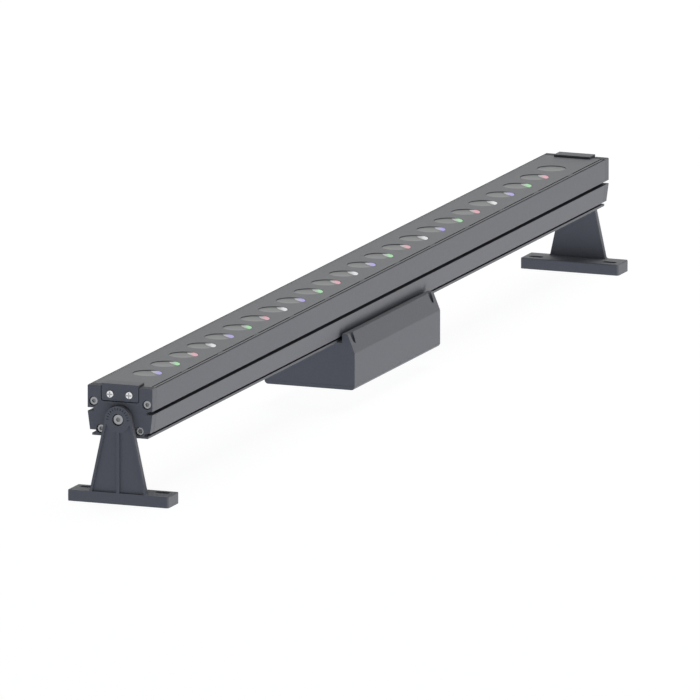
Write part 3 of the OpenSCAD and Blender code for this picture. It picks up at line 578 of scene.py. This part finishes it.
def on_tilt_scale(part):
    """True for the edges and faces of the engraved tilt marks, whose faces get painted shade."""
    reach = [math.hypot(point.co.y, point.co.z - pivot_height) for point in part.verts]
    return SCALE_INNER < min(reach) and max(reach) < SCALE_OUTER


def recut_bracket(shape):
    """Draws the tilt marks in from the rim and from the bolt, and sinks the floors of the panels."""
    middle = (SCALE_INNER + SCALE_OUTER) / 2
    for point in shape.verts:
        out = Vector((0, point.co.y, point.co.z - pivot_height))
        if SCALE_INNER < out.length < SCALE_OUTER:
            point.co += out.normalized() * (middle - out.length) * MARK_TRIM
        if abs(abs(point.co.x) - PANEL_FLOOR) < NEAR and point.co.z < pivot_height:
            point.co.x -= math.copysign(PANEL_DEEPER, point.co.x)


print("pivots:", round(pivot_height / MM, 1), "mm above the floor")

# %% [markdown]
# Each end cap has a recess that takes the cover clip. Its lower corners are cast round, and the walls of
# the gap between the clip and the recess are painted dark, as painted shade.

# %% Recess of the end caps
clip_low, clip_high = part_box("left_cover_clip")
CLIP_GAP = 0.6 * MM         # between the clip and the walls of its recess
CLIP_CORNER = 2.0 * MM
CORNER_STEPS = 6
BESIDE = 3 * MM             # how far from a corner its flat edges go
recess_side = clip_high.y + CLIP_GAP
recess_floor = clip_low.z - CLIP_GAP


def clear_corner(shape, corner):
    """Moves the edges that cross flat faces from a corner of the recess to a point beside it, where they
    don't disturb the rounding."""
    loose = [edge for edge in corner.link_edges if edge.calc_face_angle() < FLAT]
    across = max(corner.link_edges, key=lambda edge: abs(edge.other_vert(corner).co.y - corner.co.y))
    beside = bmesh.utils.edge_split(across, corner, BESIDE / across.calc_length())[1]
    for edge in loose:
        face = next(face for face in edge.link_faces if beside in face.verts)
        bmesh.utils.face_split(face, beside, edge.other_vert(corner))
        bmesh.ops.dissolve_edges(shape, edges=[edge])


def at_recess_corner(point):
    """True for the points at the two lower corners of the recess."""
    return abs(abs(point.co.y) - recess_side) < NEAR and abs(point.co.z - recess_floor) < NEAR


def round_recess(shape):
    """Rounds the two lower corners of the recess."""
    for corner in [point for point in shape.verts if at_recess_corner(point)]:
        clear_corner(shape, corner)
    corners = [edge for edge in shape.edges if all(at_recess_corner(point) for point in edge.verts)]
    bmesh.ops.bevel(shape, geom=corners, offset=CLIP_CORNER, segments=CORNER_STEPS, profile=0.5,
                    affect="EDGES")


def on_recess_wall(face):
    """True for the walls of the recess, which get painted shade."""
    middle = face.calc_center_median()
    inside = abs(middle.y) < recess_side + NEAR and middle.z > recess_floor - NEAR
    return inside and abs(face.normal.x) < 0.5


print("recess for the clip:", round(2 * recess_side / MM, 1), "mm wide")

# %% Painted pieces
# the bar's second paint is painted shade inside its grooves
softened("housing", "bar_extrusion", FINE_EDGE, [extrusion_paint, slot_shade_paint],
         skip=off_the_outside, second=deep_in_groove, recut=recut_rims)
softened("driver_housing", "driver_box_shell", EDGE, [casting_paint])
softened("driver_cover", "driver_box_base", EDGE, [casting_paint])
for side in ("left", "right"):
    # painted shade on the walls of the clip's recess
    softened(f"{side}_end_cap", f"{side}_cap_casting", EDGE, [casting_paint, slot_shade_paint],
             second=on_recess_wall, recut=round_recess)
    softened(f"{side}_cover_clip", f"{side}_clip_plate", FINE_EDGE, [casting_paint])
    # painted shade in the engraved tilt marks
    softened(f"{side}_bracket", f"{side}_bracket_casting", EDGE, [casting_paint, mark_shade_paint],
             skip=on_tilt_scale, second=on_tilt_scale, recut=recut_bracket)

# %% [markdown]
# ## Geometry Nodes for what repeats
# A light spot and each kind of screw are modelled once. A small Geometry Nodes tree then puts a copy at
# every point of a start mesh, turned as the point's attribute says, joins the copies into one real mesh
# and gives it its material. The start points come from the engineering model, so nothing is placed twice.


# %% Making and running a tree
def new_tree(name, inputs):
    """An empty Geometry Nodes tree with these named inputs, and the outputs that carry them into it."""
    tree = bpy.data.node_groups.new(name, "GeometryNodeTree")
    for label, kind in inputs.items():
        tree.interface.new_socket(label, in_out="INPUT", socket_type="NodeSocket" + kind)
    tree.interface.new_socket("Result", in_out="OUTPUT", socket_type="NodeSocketGeometry")
    return tree, add(tree, "NodeGroupInput").outputs


def end_tree(tree, geometry, finish):
    """Makes copies real, gives them their material and hands them out."""
    real = add(tree, "GeometryNodeRealizeInstances", links={"Geometry": geometry})
    coated = add(tree, "GeometryNodeSetMaterial", links={"Geometry": real.outputs[0], "Material": finish})
    add(tree, "NodeGroupOutput", links={"Result": coated.outputs[0]})
    print("tree:", tree.name, len(tree.nodes), "nodes")


def made_by(tree, start, values):
    """Runs a tree on a start mesh, its inputs set by their identifiers, and gives the result as a bmesh."""
    holder = bpy.data.objects.new("start", start)
    scene.collection.objects.link(holder)
    modifier = holder.modifiers.new("tree", "NODES")
    modifier.node_group = tree
    for socket in tree.interface.items_tree:
        if socket.in_out == "INPUT" and socket.name in values:
            modifier[socket.identifier] = values[socket.name]
    evaluated = holder.evaluated_get(bpy.context.evaluated_depsgraph_get())
    result = bmesh.new()
    result.from_mesh(bpy.data.meshes.new_from_object(evaluated))
    bpy.data.objects.remove(holder)
    return result


# %% A tree that copies a thing to every point
def copying_tree():
    """A copy of the thing at each point."""
    tree, given = new_tree("copy to every point", {
        "Points": "Geometry", "Thing": "Object", "Finish": "Material", "Scale": "Float"})
    thing = add(tree, "GeometryNodeObjectInfo", links={"Object": given["Thing"]})
    turn = add(tree, "GeometryNodeInputNamedAttribute", {"data_type": "FLOAT_VECTOR", "Name": "turn"})
    placed = add(tree, "GeometryNodeInstanceOnPoints", links={
        "Points": given["Points"], "Instance": thing.outputs["Geometry"],
        "Rotation": turn.outputs["Attribute"], "Scale": given["Scale"]})
    end_tree(tree, placed.outputs[0], given["Finish"])
    return tree


COPY_TREE = copying_tree()


def copies(shape, places, finish):
    """The mesh of a shape copied to each place, which is a point and the turn about X, Y and Z there."""
    mesh = bpy.data.meshes.new("thing")
    shape.to_mesh(mesh)
    shape.free()
    thing = bpy.data.objects.new("thing", mesh)
    scene.collection.objects.link(thing)
    points = bpy.data.meshes.new("points")
    points.from_pydata([place for place, _ in places], [], [])
    turns = points.attributes.new("turn", "FLOAT_VECTOR", "POINT")
    turns.data.foreach_set("vector", [angle for _, turn in places for angle in turn])
    joined = made_by(COPY_TREE, points, {"Thing": thing, "Finish": finish, "Scale": 1.0})
    bpy.data.objects.remove(thing)
    return joined


# %% [markdown]
# ## The cover plate
# The long plate over the lenses is blanked from sheet: a strip with 24 round windows at an even pitch, and
# a small lug after every other window that holds it against the rear rim. Its shape is a rule, so it is the
# Geometry Nodes way at its best: a rectangle and a row of circles fill one sheet, which is then given its
# thickness. Its length, width, thickness and pitch are read from the model, and the plate follows them.


# %% Sums, rows and moves in a tree
def reckon(tree, operation, first, second):
    """A sum on two values, each a number or the output of a node."""
    values = {0: first, 1: second}
    numbers = {slot: value for slot, value in values.items() if isinstance(value, (int, float))}
    links = {slot: value for slot, value in values.items() if slot not in numbers}
    return add(tree, "ShaderNodeMath", {"operation": operation, **numbers}, links).outputs[0]


def vector(tree, **parts):
    """A vector with the given parts."""
    return add(tree, "ShaderNodeCombineXYZ", links=parts).outputs[0]


def moved(tree, thing, **way):
    """The thing moved that way."""
    return add(tree, "GeometryNodeTransform", links={
        "Geometry": thing, "Translation": vector(tree, **way)}).outputs[0]


def in_a_row(tree, thing, count, pitch, start):
    """That many copies of the thing along X, from a start at that pitch."""
    points = add(tree, "GeometryNodeMeshLine", links={
        "Count": count, "Start Location": vector(tree, X=start), "Offset": vector(tree, X=pitch)})
    return add(tree, "GeometryNodeInstanceOnPoints", links={
        "Points": points.outputs[0], "Instance": thing}).outputs[0]


def together(tree, *things):
    """The things as one geometry."""
    join = add(tree, "GeometryNodeJoinGeometry")
    for thing in things:
        tree.links.new(thing, join.inputs[0])
    return join.outputs[0]


# %% A tree for a plate with a row of windows
WINDOW_SIDES = 96
LUG_DROP = 0.1 * MM         # the lugs lie this much below the top of the plate


def windowed_sheet(tree, given, span):
    """The strip and its windows, filled to one thick sheet. Span is between the outer windows."""
    circle = add(tree, "GeometryNodeCurvePrimitiveCircle", {"Resolution": WINDOW_SIDES}, {
        "Radius": given["Window Radius"]})
    start = reckon(tree, "MULTIPLY", span, -0.5)
    windows = in_a_row(tree, circle.outputs[0], given["Windows"], given["Pitch"], start)
    cut_out = add(tree, "GeometryNodeRealizeInstances", links={"Geometry": windows})
    both_gaps = reckon(tree, "ADD", given["Front Gap"], given["Rear Gap"])
    off_centre = reckon(tree, "SUBTRACT", given["Front Gap"], given["Rear Gap"])
    blank = add(tree, "GeometryNodeCurvePrimitiveQuadrilateral", links={
        "Width": given["Length"], "Height": reckon(tree, "SUBTRACT", given["Width"], both_gaps)})
    strip = moved(tree, blank.outputs[0], Y=reckon(tree, "MULTIPLY", off_centre, 0.5))
    sheet = add(tree, "GeometryNodeFillCurve", links={"Curve": together(tree, strip, cut_out.outputs[0])})
    thick = add(tree, "GeometryNodeExtrudeMesh", {"Individual": False}, {
        "Mesh": sheet.outputs[0], "Offset Scale": given["Thickness"]})
    underside = add(tree, "GeometryNodeFlipFaces", links={"Mesh": sheet.outputs[0]})
    closed = together(tree, thick.outputs[0], underside.outputs[0])
    welded = add(tree, "GeometryNodeMergeByDistance", {"Distance": WELD}, {"Geometry": closed})
    return moved(tree, welded.outputs[0], Z=reckon(tree, "SUBTRACT", given["Top"], given["Thickness"]))


def row_of_lugs(tree, given, span):
    """A lug after every other window, in the gap between the plate and the front rim."""
    height = reckon(tree, "SUBTRACT", given["Thickness"], LUG_DROP)
    lug = add(tree, "GeometryNodeMeshCube", links={
        "Size": vector(tree, X=given["Lug Length"], Y=given["Front Gap"], Z=height)})
    count = reckon(tree, "DIVIDE", given["Windows"], 2)
    pitch = reckon(tree, "MULTIPLY", given["Pitch"], 2)
    start = reckon(tree, "MULTIPLY", reckon(tree, "SUBTRACT", span, given["Pitch"]), -0.5)
    lugs = in_a_row(tree, lug.outputs[0], count, pitch, start)
    half_gap = reckon(tree, "MULTIPLY", given["Front Gap"], 0.5)
    half_width = reckon(tree, "MULTIPLY", given["Width"], 0.5)
    top = reckon(tree, "SUBTRACT", given["Top"], LUG_DROP)
    return moved(tree, lugs, Y=reckon(tree, "SUBTRACT", half_gap, half_width),
                 Z=reckon(tree, "SUBTRACT", top, reckon(tree, "MULTIPLY", height, 0.5)))


def plate_tree():
    """The whole plate from its sizes."""
    tree, given = new_tree("plate with a row of windows", {
        "Length": "Float", "Width": "Float", "Thickness": "Float", "Top": "Float", "Windows": "Int",
        "Pitch": "Float", "Window Radius": "Float", "Lug Length": "Float", "Front Gap": "Float",
        "Rear Gap": "Float", "Finish": "Material"})
    span = reckon(tree, "MULTIPLY", given["Pitch"], reckon(tree, "SUBTRACT", given["Windows"], 1))
    whole = together(tree, windowed_sheet(tree, given, span), row_of_lugs(tree, given, span))
    end_tree(tree, whole, given["Finish"])
    return tree


PLATE_TREE = plate_tree()

# %% Places of the light sources
COLOURS = ("blue", "green", "red", "white")


def sources(colour):
    """The middle of each light source of one colour, along the bar."""
    return [(low.x + high.x) / 2 for low, high in solids_of(f"leds_{colour}")]


all_sources = sorted(place for colour in COLOURS for place in sources(colour))
source_pitch = (all_sources[-1] - all_sources[0]) / (len(all_sources) - 1)
print(len(all_sources), "light sources,", round(source_pitch / MM, 2), "mm apart")

# %% The plate with its windows
WINDOW_RADIUS = 11.65 * MM
FRONT_GAP = 0.75 * MM       # between the plate and the front rim, bridged by the lugs
REAR_GAP = 0.15 * MM        # the plate is pushed against the rear rim
LUG_LENGTH = 10 * MM

cover_low, cover_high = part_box("cover_plate")
plate = made_by(PLATE_TREE, bpy.data.meshes.new("nothing"), {
    "Length": cover_high.x - cover_low.x, "Width": 2 * cover_high.y,
    "Thickness": cover_high.z - cover_low.z, "Top": cover_high.z, "Windows": len(all_sources),
    "Pitch": source_pitch, "Window Radius": WINDOW_RADIUS, "Lug Length": LUG_LENGTH,
    "Front Gap": FRONT_GAP, "Rear Gap": REAR_GAP, "Finish": extrusion_paint})


def off_the_windows(edge):
    """True for the edges that aren't round a window."""
    return max(abs(point.co.y) for point in edge.verts) > WINDOW_RADIUS + NEAR


def in_front_gap(face):
    """True for the plate's front edge, which stands in the gap along the front rim and gets painted shade.
    """
    behind_lugs = abs(face.calc_center_median().y + cover_high.y - FRONT_GAP) < NEAR
    return behind_lugs and face.normal.y < -SQUARE


round_edges(plate, FINE_EDGE, skip=off_the_windows)
# the front edge in the gap gets the painted shade of the slots
for face in plate.faces:
    face.material_index = int(in_front_gap(face))
window_cover = finished(plate, "window_cover", [extrusion_paint, slot_shade_paint], body_of("cover_plate"),
                        ["cover_plate"])
print("cover plate:", len(window_cover.data.polygons), "faces")

# %% [markdown]
# ## Lenses and their light spots
# Each source sits under a collimating lens of smoky acrylic, whose face is a shallow dish that fills its
# window. From the side of the photograph the source shows in a bright spot at the rim, in its own colour:
# blue, green, red and white in turn, and none at the last lens. The arrays come from the engineering model,
# with each face pressed in step by step. A spot is the overlap of two discs that rises a little from the
# lens, and it glows, vivid at its head and pale at its tail.
# A spot is painted light: a painted reflection of its source, which glows though it is no lamp.

# %% Lens arrays with dished faces
LENS_ARRAYS = 6
LENS_RISE = 0.2 * MM        # the faces are drawn this much nearer to the top of the cover
DISH_STEPS = ((0.35, 0.0), (0.9, 0.02), (1.8, 0.08), (2.4, 0.10), (2.6, 0.06))      # inset and drop, in mm
lens_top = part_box("lens_array_1")[1].z


def dished_array(number):
    """One array of lenses, their faces pressed into shallow dishes."""
    node = f"lens_array_{number}"
    shape = merged(node)
    join_flats(shape)
    faces = [face for face in filter(looks_up, shape.faces)
             if face.calc_center_median().z > lens_top - NEAR]
    rims = {point for face in faces for point in face.verts}
    bmesh.ops.translate(shape, vec=(0, 0, LENS_RISE), verts=list(rims))
    for inset, drop in DISH_STEPS:
        bmesh.ops.inset_individual(shape, faces=faces, thickness=inset * MM, depth=-drop * MM)
    return finished(shape, f"{node}_dished", [lens_acrylic], body_of(node), [node])


for number in range(1, LENS_ARRAYS + 1):
    print(dished_array(number).name)

# %% Painted glow of the four sources
# strength of the painted glow, which is no lamp
GLOW_LEVEL = 0.25


def glowing(name, vivid, pale):
    """A painted glow of the source below on a lens facet: pale at its tail and vivid towards the window's
    edge.
    """
    material, tree, _ = new_material(name)
    head = add(tree, "ShaderNodeAttribute", {"attribute_name": "head"})
    colour = add(tree, "ShaderNodeMix", {"data_type": "RGBA", 6: linear(pale), 7: linear(vivid)}, {
        0: head.outputs["Fac"]})
    shader = add(tree, "ShaderNodeBsdfPrincipled", {
        "Roughness": 0.30, "IOR": 1.49, "Specular IOR Level": 0.3, "Emission Strength": GLOW_LEVEL}, {
        "Base Color": colour.outputs[2], "Emission Color": colour.outputs[2]})
    set_surface(tree, shader)
    return material


GLOWS = {
    "blue": glowing("acrylic with a painted blue glow", "a79be8", "b0b0b6"),
    "green": glowing("acrylic with a painted green glow", "a0e6a2", "b0b3af"),
    "red": glowing("acrylic with a painted red glow", "ef9fae", "b4b0b0"),
    "white": glowing("acrylic with a painted white glow", "f6f6f6", "b6b6b6"),
}
print("glows:", list(GLOWS))

# %% Points of a light spot, in mm
SPOT_RIM = 11.4             # the spot's outer edge follows the lens's rim
SPOT_DISC = 22.5            # its inner edge is an arc of this radius
SPOT_OFFSET = 27.6          # about a centre this far from the lens's axis
SPOT_TURN = math.radians(-45.5)
SPOT_RISE = 0.42            # of its outer edge over the lens
SPOT_LIFT = 0.15            # of its inner edge at the head
SPOT_TAIL = 0.3             # the share of its length over which it rises
SPOT_SUNK = 0.25            # its underside lies this deep in the lens
SPOT_STEPS = 28
SPOT_ROWS = 8
spot_middle = (SPOT_RIM ** 2 - SPOT_DISC ** 2 + SPOT_OFFSET ** 2) / (2 * SPOT_OFFSET)
spot_half = math.sqrt(SPOT_RIM ** 2 - spot_middle ** 2)


def eased(value):
    """0 below 0, 1 above 1, and smooth between them."""
    value = min(max(value, 0.0), 1.0)
    return value * value * (3 - 2 * value)


def on_spot(step, row, height):
    """A point of the spot, by steps from its tail to its head and rows from its inner to its outer edge."""
    side = spot_half - 2 * spot_half * step / SPOT_STEPS
    outer = math.sqrt(SPOT_RIM ** 2 - side ** 2)
    inner = SPOT_OFFSET - math.sqrt(SPOT_DISC ** 2 - side ** 2)
    out = inner + (outer - inner) * row / SPOT_ROWS
    return Matrix.Rotation(SPOT_TURN, 3, "Z") @ Vector((out, side, height)) * MM


def on_top(step, row):
    """A point of the spot's face, which rises from its tail and most of all along its outer edge."""
    ahead, up = step / SPOT_STEPS, row / SPOT_ROWS
    outer = SPOT_RISE * eased(ahead / SPOT_TAIL)
    inner = SPOT_LIFT * eased(ahead * 2 - 1)
    return on_spot(step, row, outer * up + inner * (1 - up))


def underneath(step, row):
    """A point of the spot's flat underside."""
    return on_spot(step, row, -SPOT_SUNK)


print("a spot is", round(2 * spot_half, 1), "mm long")

# %% Light spots
HEAD_TOWARDS = Vector((0.45, -0.89, 0))     # from the tail to the head, where the colour is vivid
HEAD_FROM = 5.2             # it turns vivid over this stretch, in mm from the lens's axis
HEAD_TO = 9.2


def spot_shape():
    """The overlap of two discs round the lens's axis, as a closed shell that rises from its tail."""
    shape = bmesh.new()
    vivid = shape.verts.layers.float.new("head")
    top, bottom = [[[shape.verts.new(place(step, row)) for step in range(SPOT_STEPS + 1)]
                    for row in range(SPOT_ROWS + 1)] for place in (on_top, underneath)]
    bands = [*zip(top, top[1:]), *zip(bottom, bottom[1:]), (top[0], bottom[0]), (top[-1], bottom[-1])]
    for low, high in bands:
        for step in range(SPOT_STEPS):
            shape.faces.new((low[step], low[step + 1], high[step + 1], high[step]))
    for corner in shape.verts:
        corner[vivid] = eased((corner.co.dot(HEAD_TOWARDS) / MM - HEAD_FROM) / (HEAD_TO - HEAD_FROM))
    bmesh.ops.remove_doubles(shape, verts=shape.verts, dist=WELD)
    bmesh.ops.recalc_face_normals(shape, faces=shape.faces)
    return shape


# the spots carry the painted glow of the sources
for colour, glow in GLOWS.items():
    places = [((x, 0, lens_top + LENS_RISE), (0, 0, 0)) for x in sources(colour) if x < all_sources[-1]]
    finished(copies(spot_shape(), places, glow), f"{colour}_light_spots", [glow], body_of("leds_blue"))
    print(colour, "spots:", len(places))

# %% [markdown]
# ## Screws
# All the screws that show are turned parts with a socket pressed into the head: hexagon sockets in the end
# caps, at the pivots and in the driver box, and Phillips crosses in the clips. One function turns rings
# about an axis, and each ring may be round, six-sided or cross-shaped, so that the socket joins the head
# without a cut.

# %% Turning rings
TINY = 1e-6                 # stands in for zero where a sum divides by it


def hexagon(key):
    """The reach of a hexagon socket of that key size, in mm, at each angle."""
    return lambda angle: key / 2 / math.cos((angle + math.pi / 6) % (math.pi / 3) - math.pi / 6)


def cross(length, width):
    """The reach of an upright cross at each angle."""
    def reach(angle):
        across, up = max(abs(math.cos(angle)), TINY), max(abs(math.sin(angle)), TINY)
        return max(min(length / across, width / up), min(width / across, length / up)) / 2
    return reach


def turned(outside, socket, steps):
    """A shape about the Z axis, from the rings of its outside and then of its socket. A ring is a height
    and a reach in mm, and the reach may be a rule. The faces in the socket are marked."""
    shape = bmesh.new()
    in_socket = shape.faces.layers.float.new("socket")
    angles = [2 * math.pi * step / steps for step in range(steps)]
    loops = []
    for height, reach in outside + socket:
        if reach == 0:
            loops.append([shape.verts.new((0, 0, height * MM))])
            continue
        outs = [(reach(angle) if callable(reach) else reach) * MM for angle in angles]
        loops.append([shape.verts.new((out * math.cos(angle), out * math.sin(angle), height * MM))
                      for out, angle in zip(outs, angles)])
    for number, (low, high) in enumerate(zip(loops, loops[1:])):
        for step in range(steps):
            ahead = (step + 1) % steps
            corners = (low[step % len(low)], low[ahead % len(low)],
                       high[ahead % len(high)], high[step % len(high)])
            face = shape.faces.new(dict.fromkeys(corners))
            face[in_socket] = float(number >= len(outside))
    bmesh.ops.recalc_face_normals(shape, faces=shape.faces)
    return shape


print("corners of a 3 mm socket:", round(hexagon(3.0)(math.pi / 6), 2), "mm out")

# %% Two kinds of screw, in mm
ROUND_STEPS = 48
CROSS_STEPS = 96            # the narrow arms of a cross need more


def socket_screw(thread, head, height, length, key):
    """A cylinder head screw with a hexagon socket, and its head's top at Z 0. Thread and head are radii."""
    end = -height - length
    shank = ((end, 0), (end, thread * 0.75), (end + thread * 0.4, thread), (-height, thread))
    cylinder = ((-height, head - 0.1), (-height + 0.15, head), (-0.4, head), (-0.12, head - 0.12),
                (0, head - 0.45))
    floor = -height * 0.3
    socket = ((0, hexagon(key + 0.3)), (-0.15, hexagon(key)), (floor, hexagon(key)), (floor - 0.15, 0))
    return turned(shank + cylinder, socket, ROUND_STEPS)


def pan_screw(thread, head, height, length):
    """A pan head screw with a Phillips cross, and its head's seat at Z 0."""
    shank = ((-length, 0), (-length, thread * 0.7), (-length + thread * 0.5, thread), (0, thread))
    pan = ((0, head - 0.08), (0.12, head), (height * 0.35, head), (height * 0.65, head * 0.97),
           (height * 0.88, head * 0.9), (height, head * 0.82))
    socket = ((height, cross(4.5, 1.15)), (height - 0.35, cross(4.35, 1.05)), (height - 0.45, 0))
    return turned(shank + pan, socket, CROSS_STEPS)


print("steps:", ROUND_STEPS, "or", CROSS_STEPS)


# %% Screws in their places
FACING = {"left": (0, -math.pi / 2, 0), "right": (0, math.pi / 2, 0)}
PAN_HEIGHT = 1.6 * MM
HEAD_SUNK = 0.5 * MM        # the end cap screws sit this much deeper in their wells


def end_places(node, depth=0.0):
    """The outer middle of each solid of a node, less a depth, with the turn that faces the end it is at."""
    places = []
    for low, high in solids_of(node):
        side = "left" if high.x < 0 else "right"
        outer = low.x + depth if side == "left" else high.x - depth
        places.append(((outer, (low.y + high.y) / 2, (low.z + high.z) / 2), FACING[side]))
    return places


def fastened(name, shape, places, finish, node):
    """Screws copied to their places, in place of the node that they stand for."""
    finished(copies(shape, places, finish), name, [finish], body_of(node), [node])
    print(name, len(places))


fastened("end_cap_screws", socket_screw(thread=2.0, head=3.4, height=3.5, length=18, key=2.6),
         end_places("cap_screws", HEAD_SUNK), stainless, "cap_screws")
fastened("cover_clip_screws", pan_screw(thread=1.5, head=3.0, height=PAN_HEIGHT / MM, length=7.4),
         end_places("clip_screws", PAN_HEIGHT), nickel, "clip_screws")
for side in ("left", "right"):
    node = f"{side}_pivot_bolt"
    fastened(f"{side}_pivot_screw", socket_screw(thread=2.5, head=4.2, height=3.0, length=12.3, key=3.0),
             end_places(node), stainless, node)
wells = [(((low.x + high.x) / 2, (low.y + high.y) / 2, high.z), (0, 0, 0))
         for low, high in solids_of("driver_corner_screws")]
fastened("driver_box_screws", socket_screw(thread=1.5, head=2.75, height=3.0, length=32.6, key=2.5),
         wells, stainless, "driver_corner_screws")

# %% [markdown]
# ## Finishes of the nodes that stay
# The small parts inside the light have the right shape already, so they only get their finish.

# %% Finish of each slot
FINISH = {
    "black_rubber": silicone, "board_white": white_board, "board_green": green_board,
    "stainless_steel": stainless, "bright_steel": nickel, "supply_case": grey_resin,
    "black_plastic": black_nylon, "green_plastic": green_nylon, "red_insulation": red_pvc,
    "lens_plastic": lens_acrylic, "blue_source": blue_dome, "green_source": green_dome,
    "red_source": red_dome, "white_source": white_dome,
}
for node in frame["nodes"].values():
    for slot in node.material_slots:
        if slot.material and slot.material.name in FINISH:
            slot.material = FINISH[slot.material.name]
for side in ("left", "right"):
    frame["nodes"][f"{side}_cap_gasket"].material_slots[0].material = grey_silicone
print("finishes:", len(FINISH), "slots")
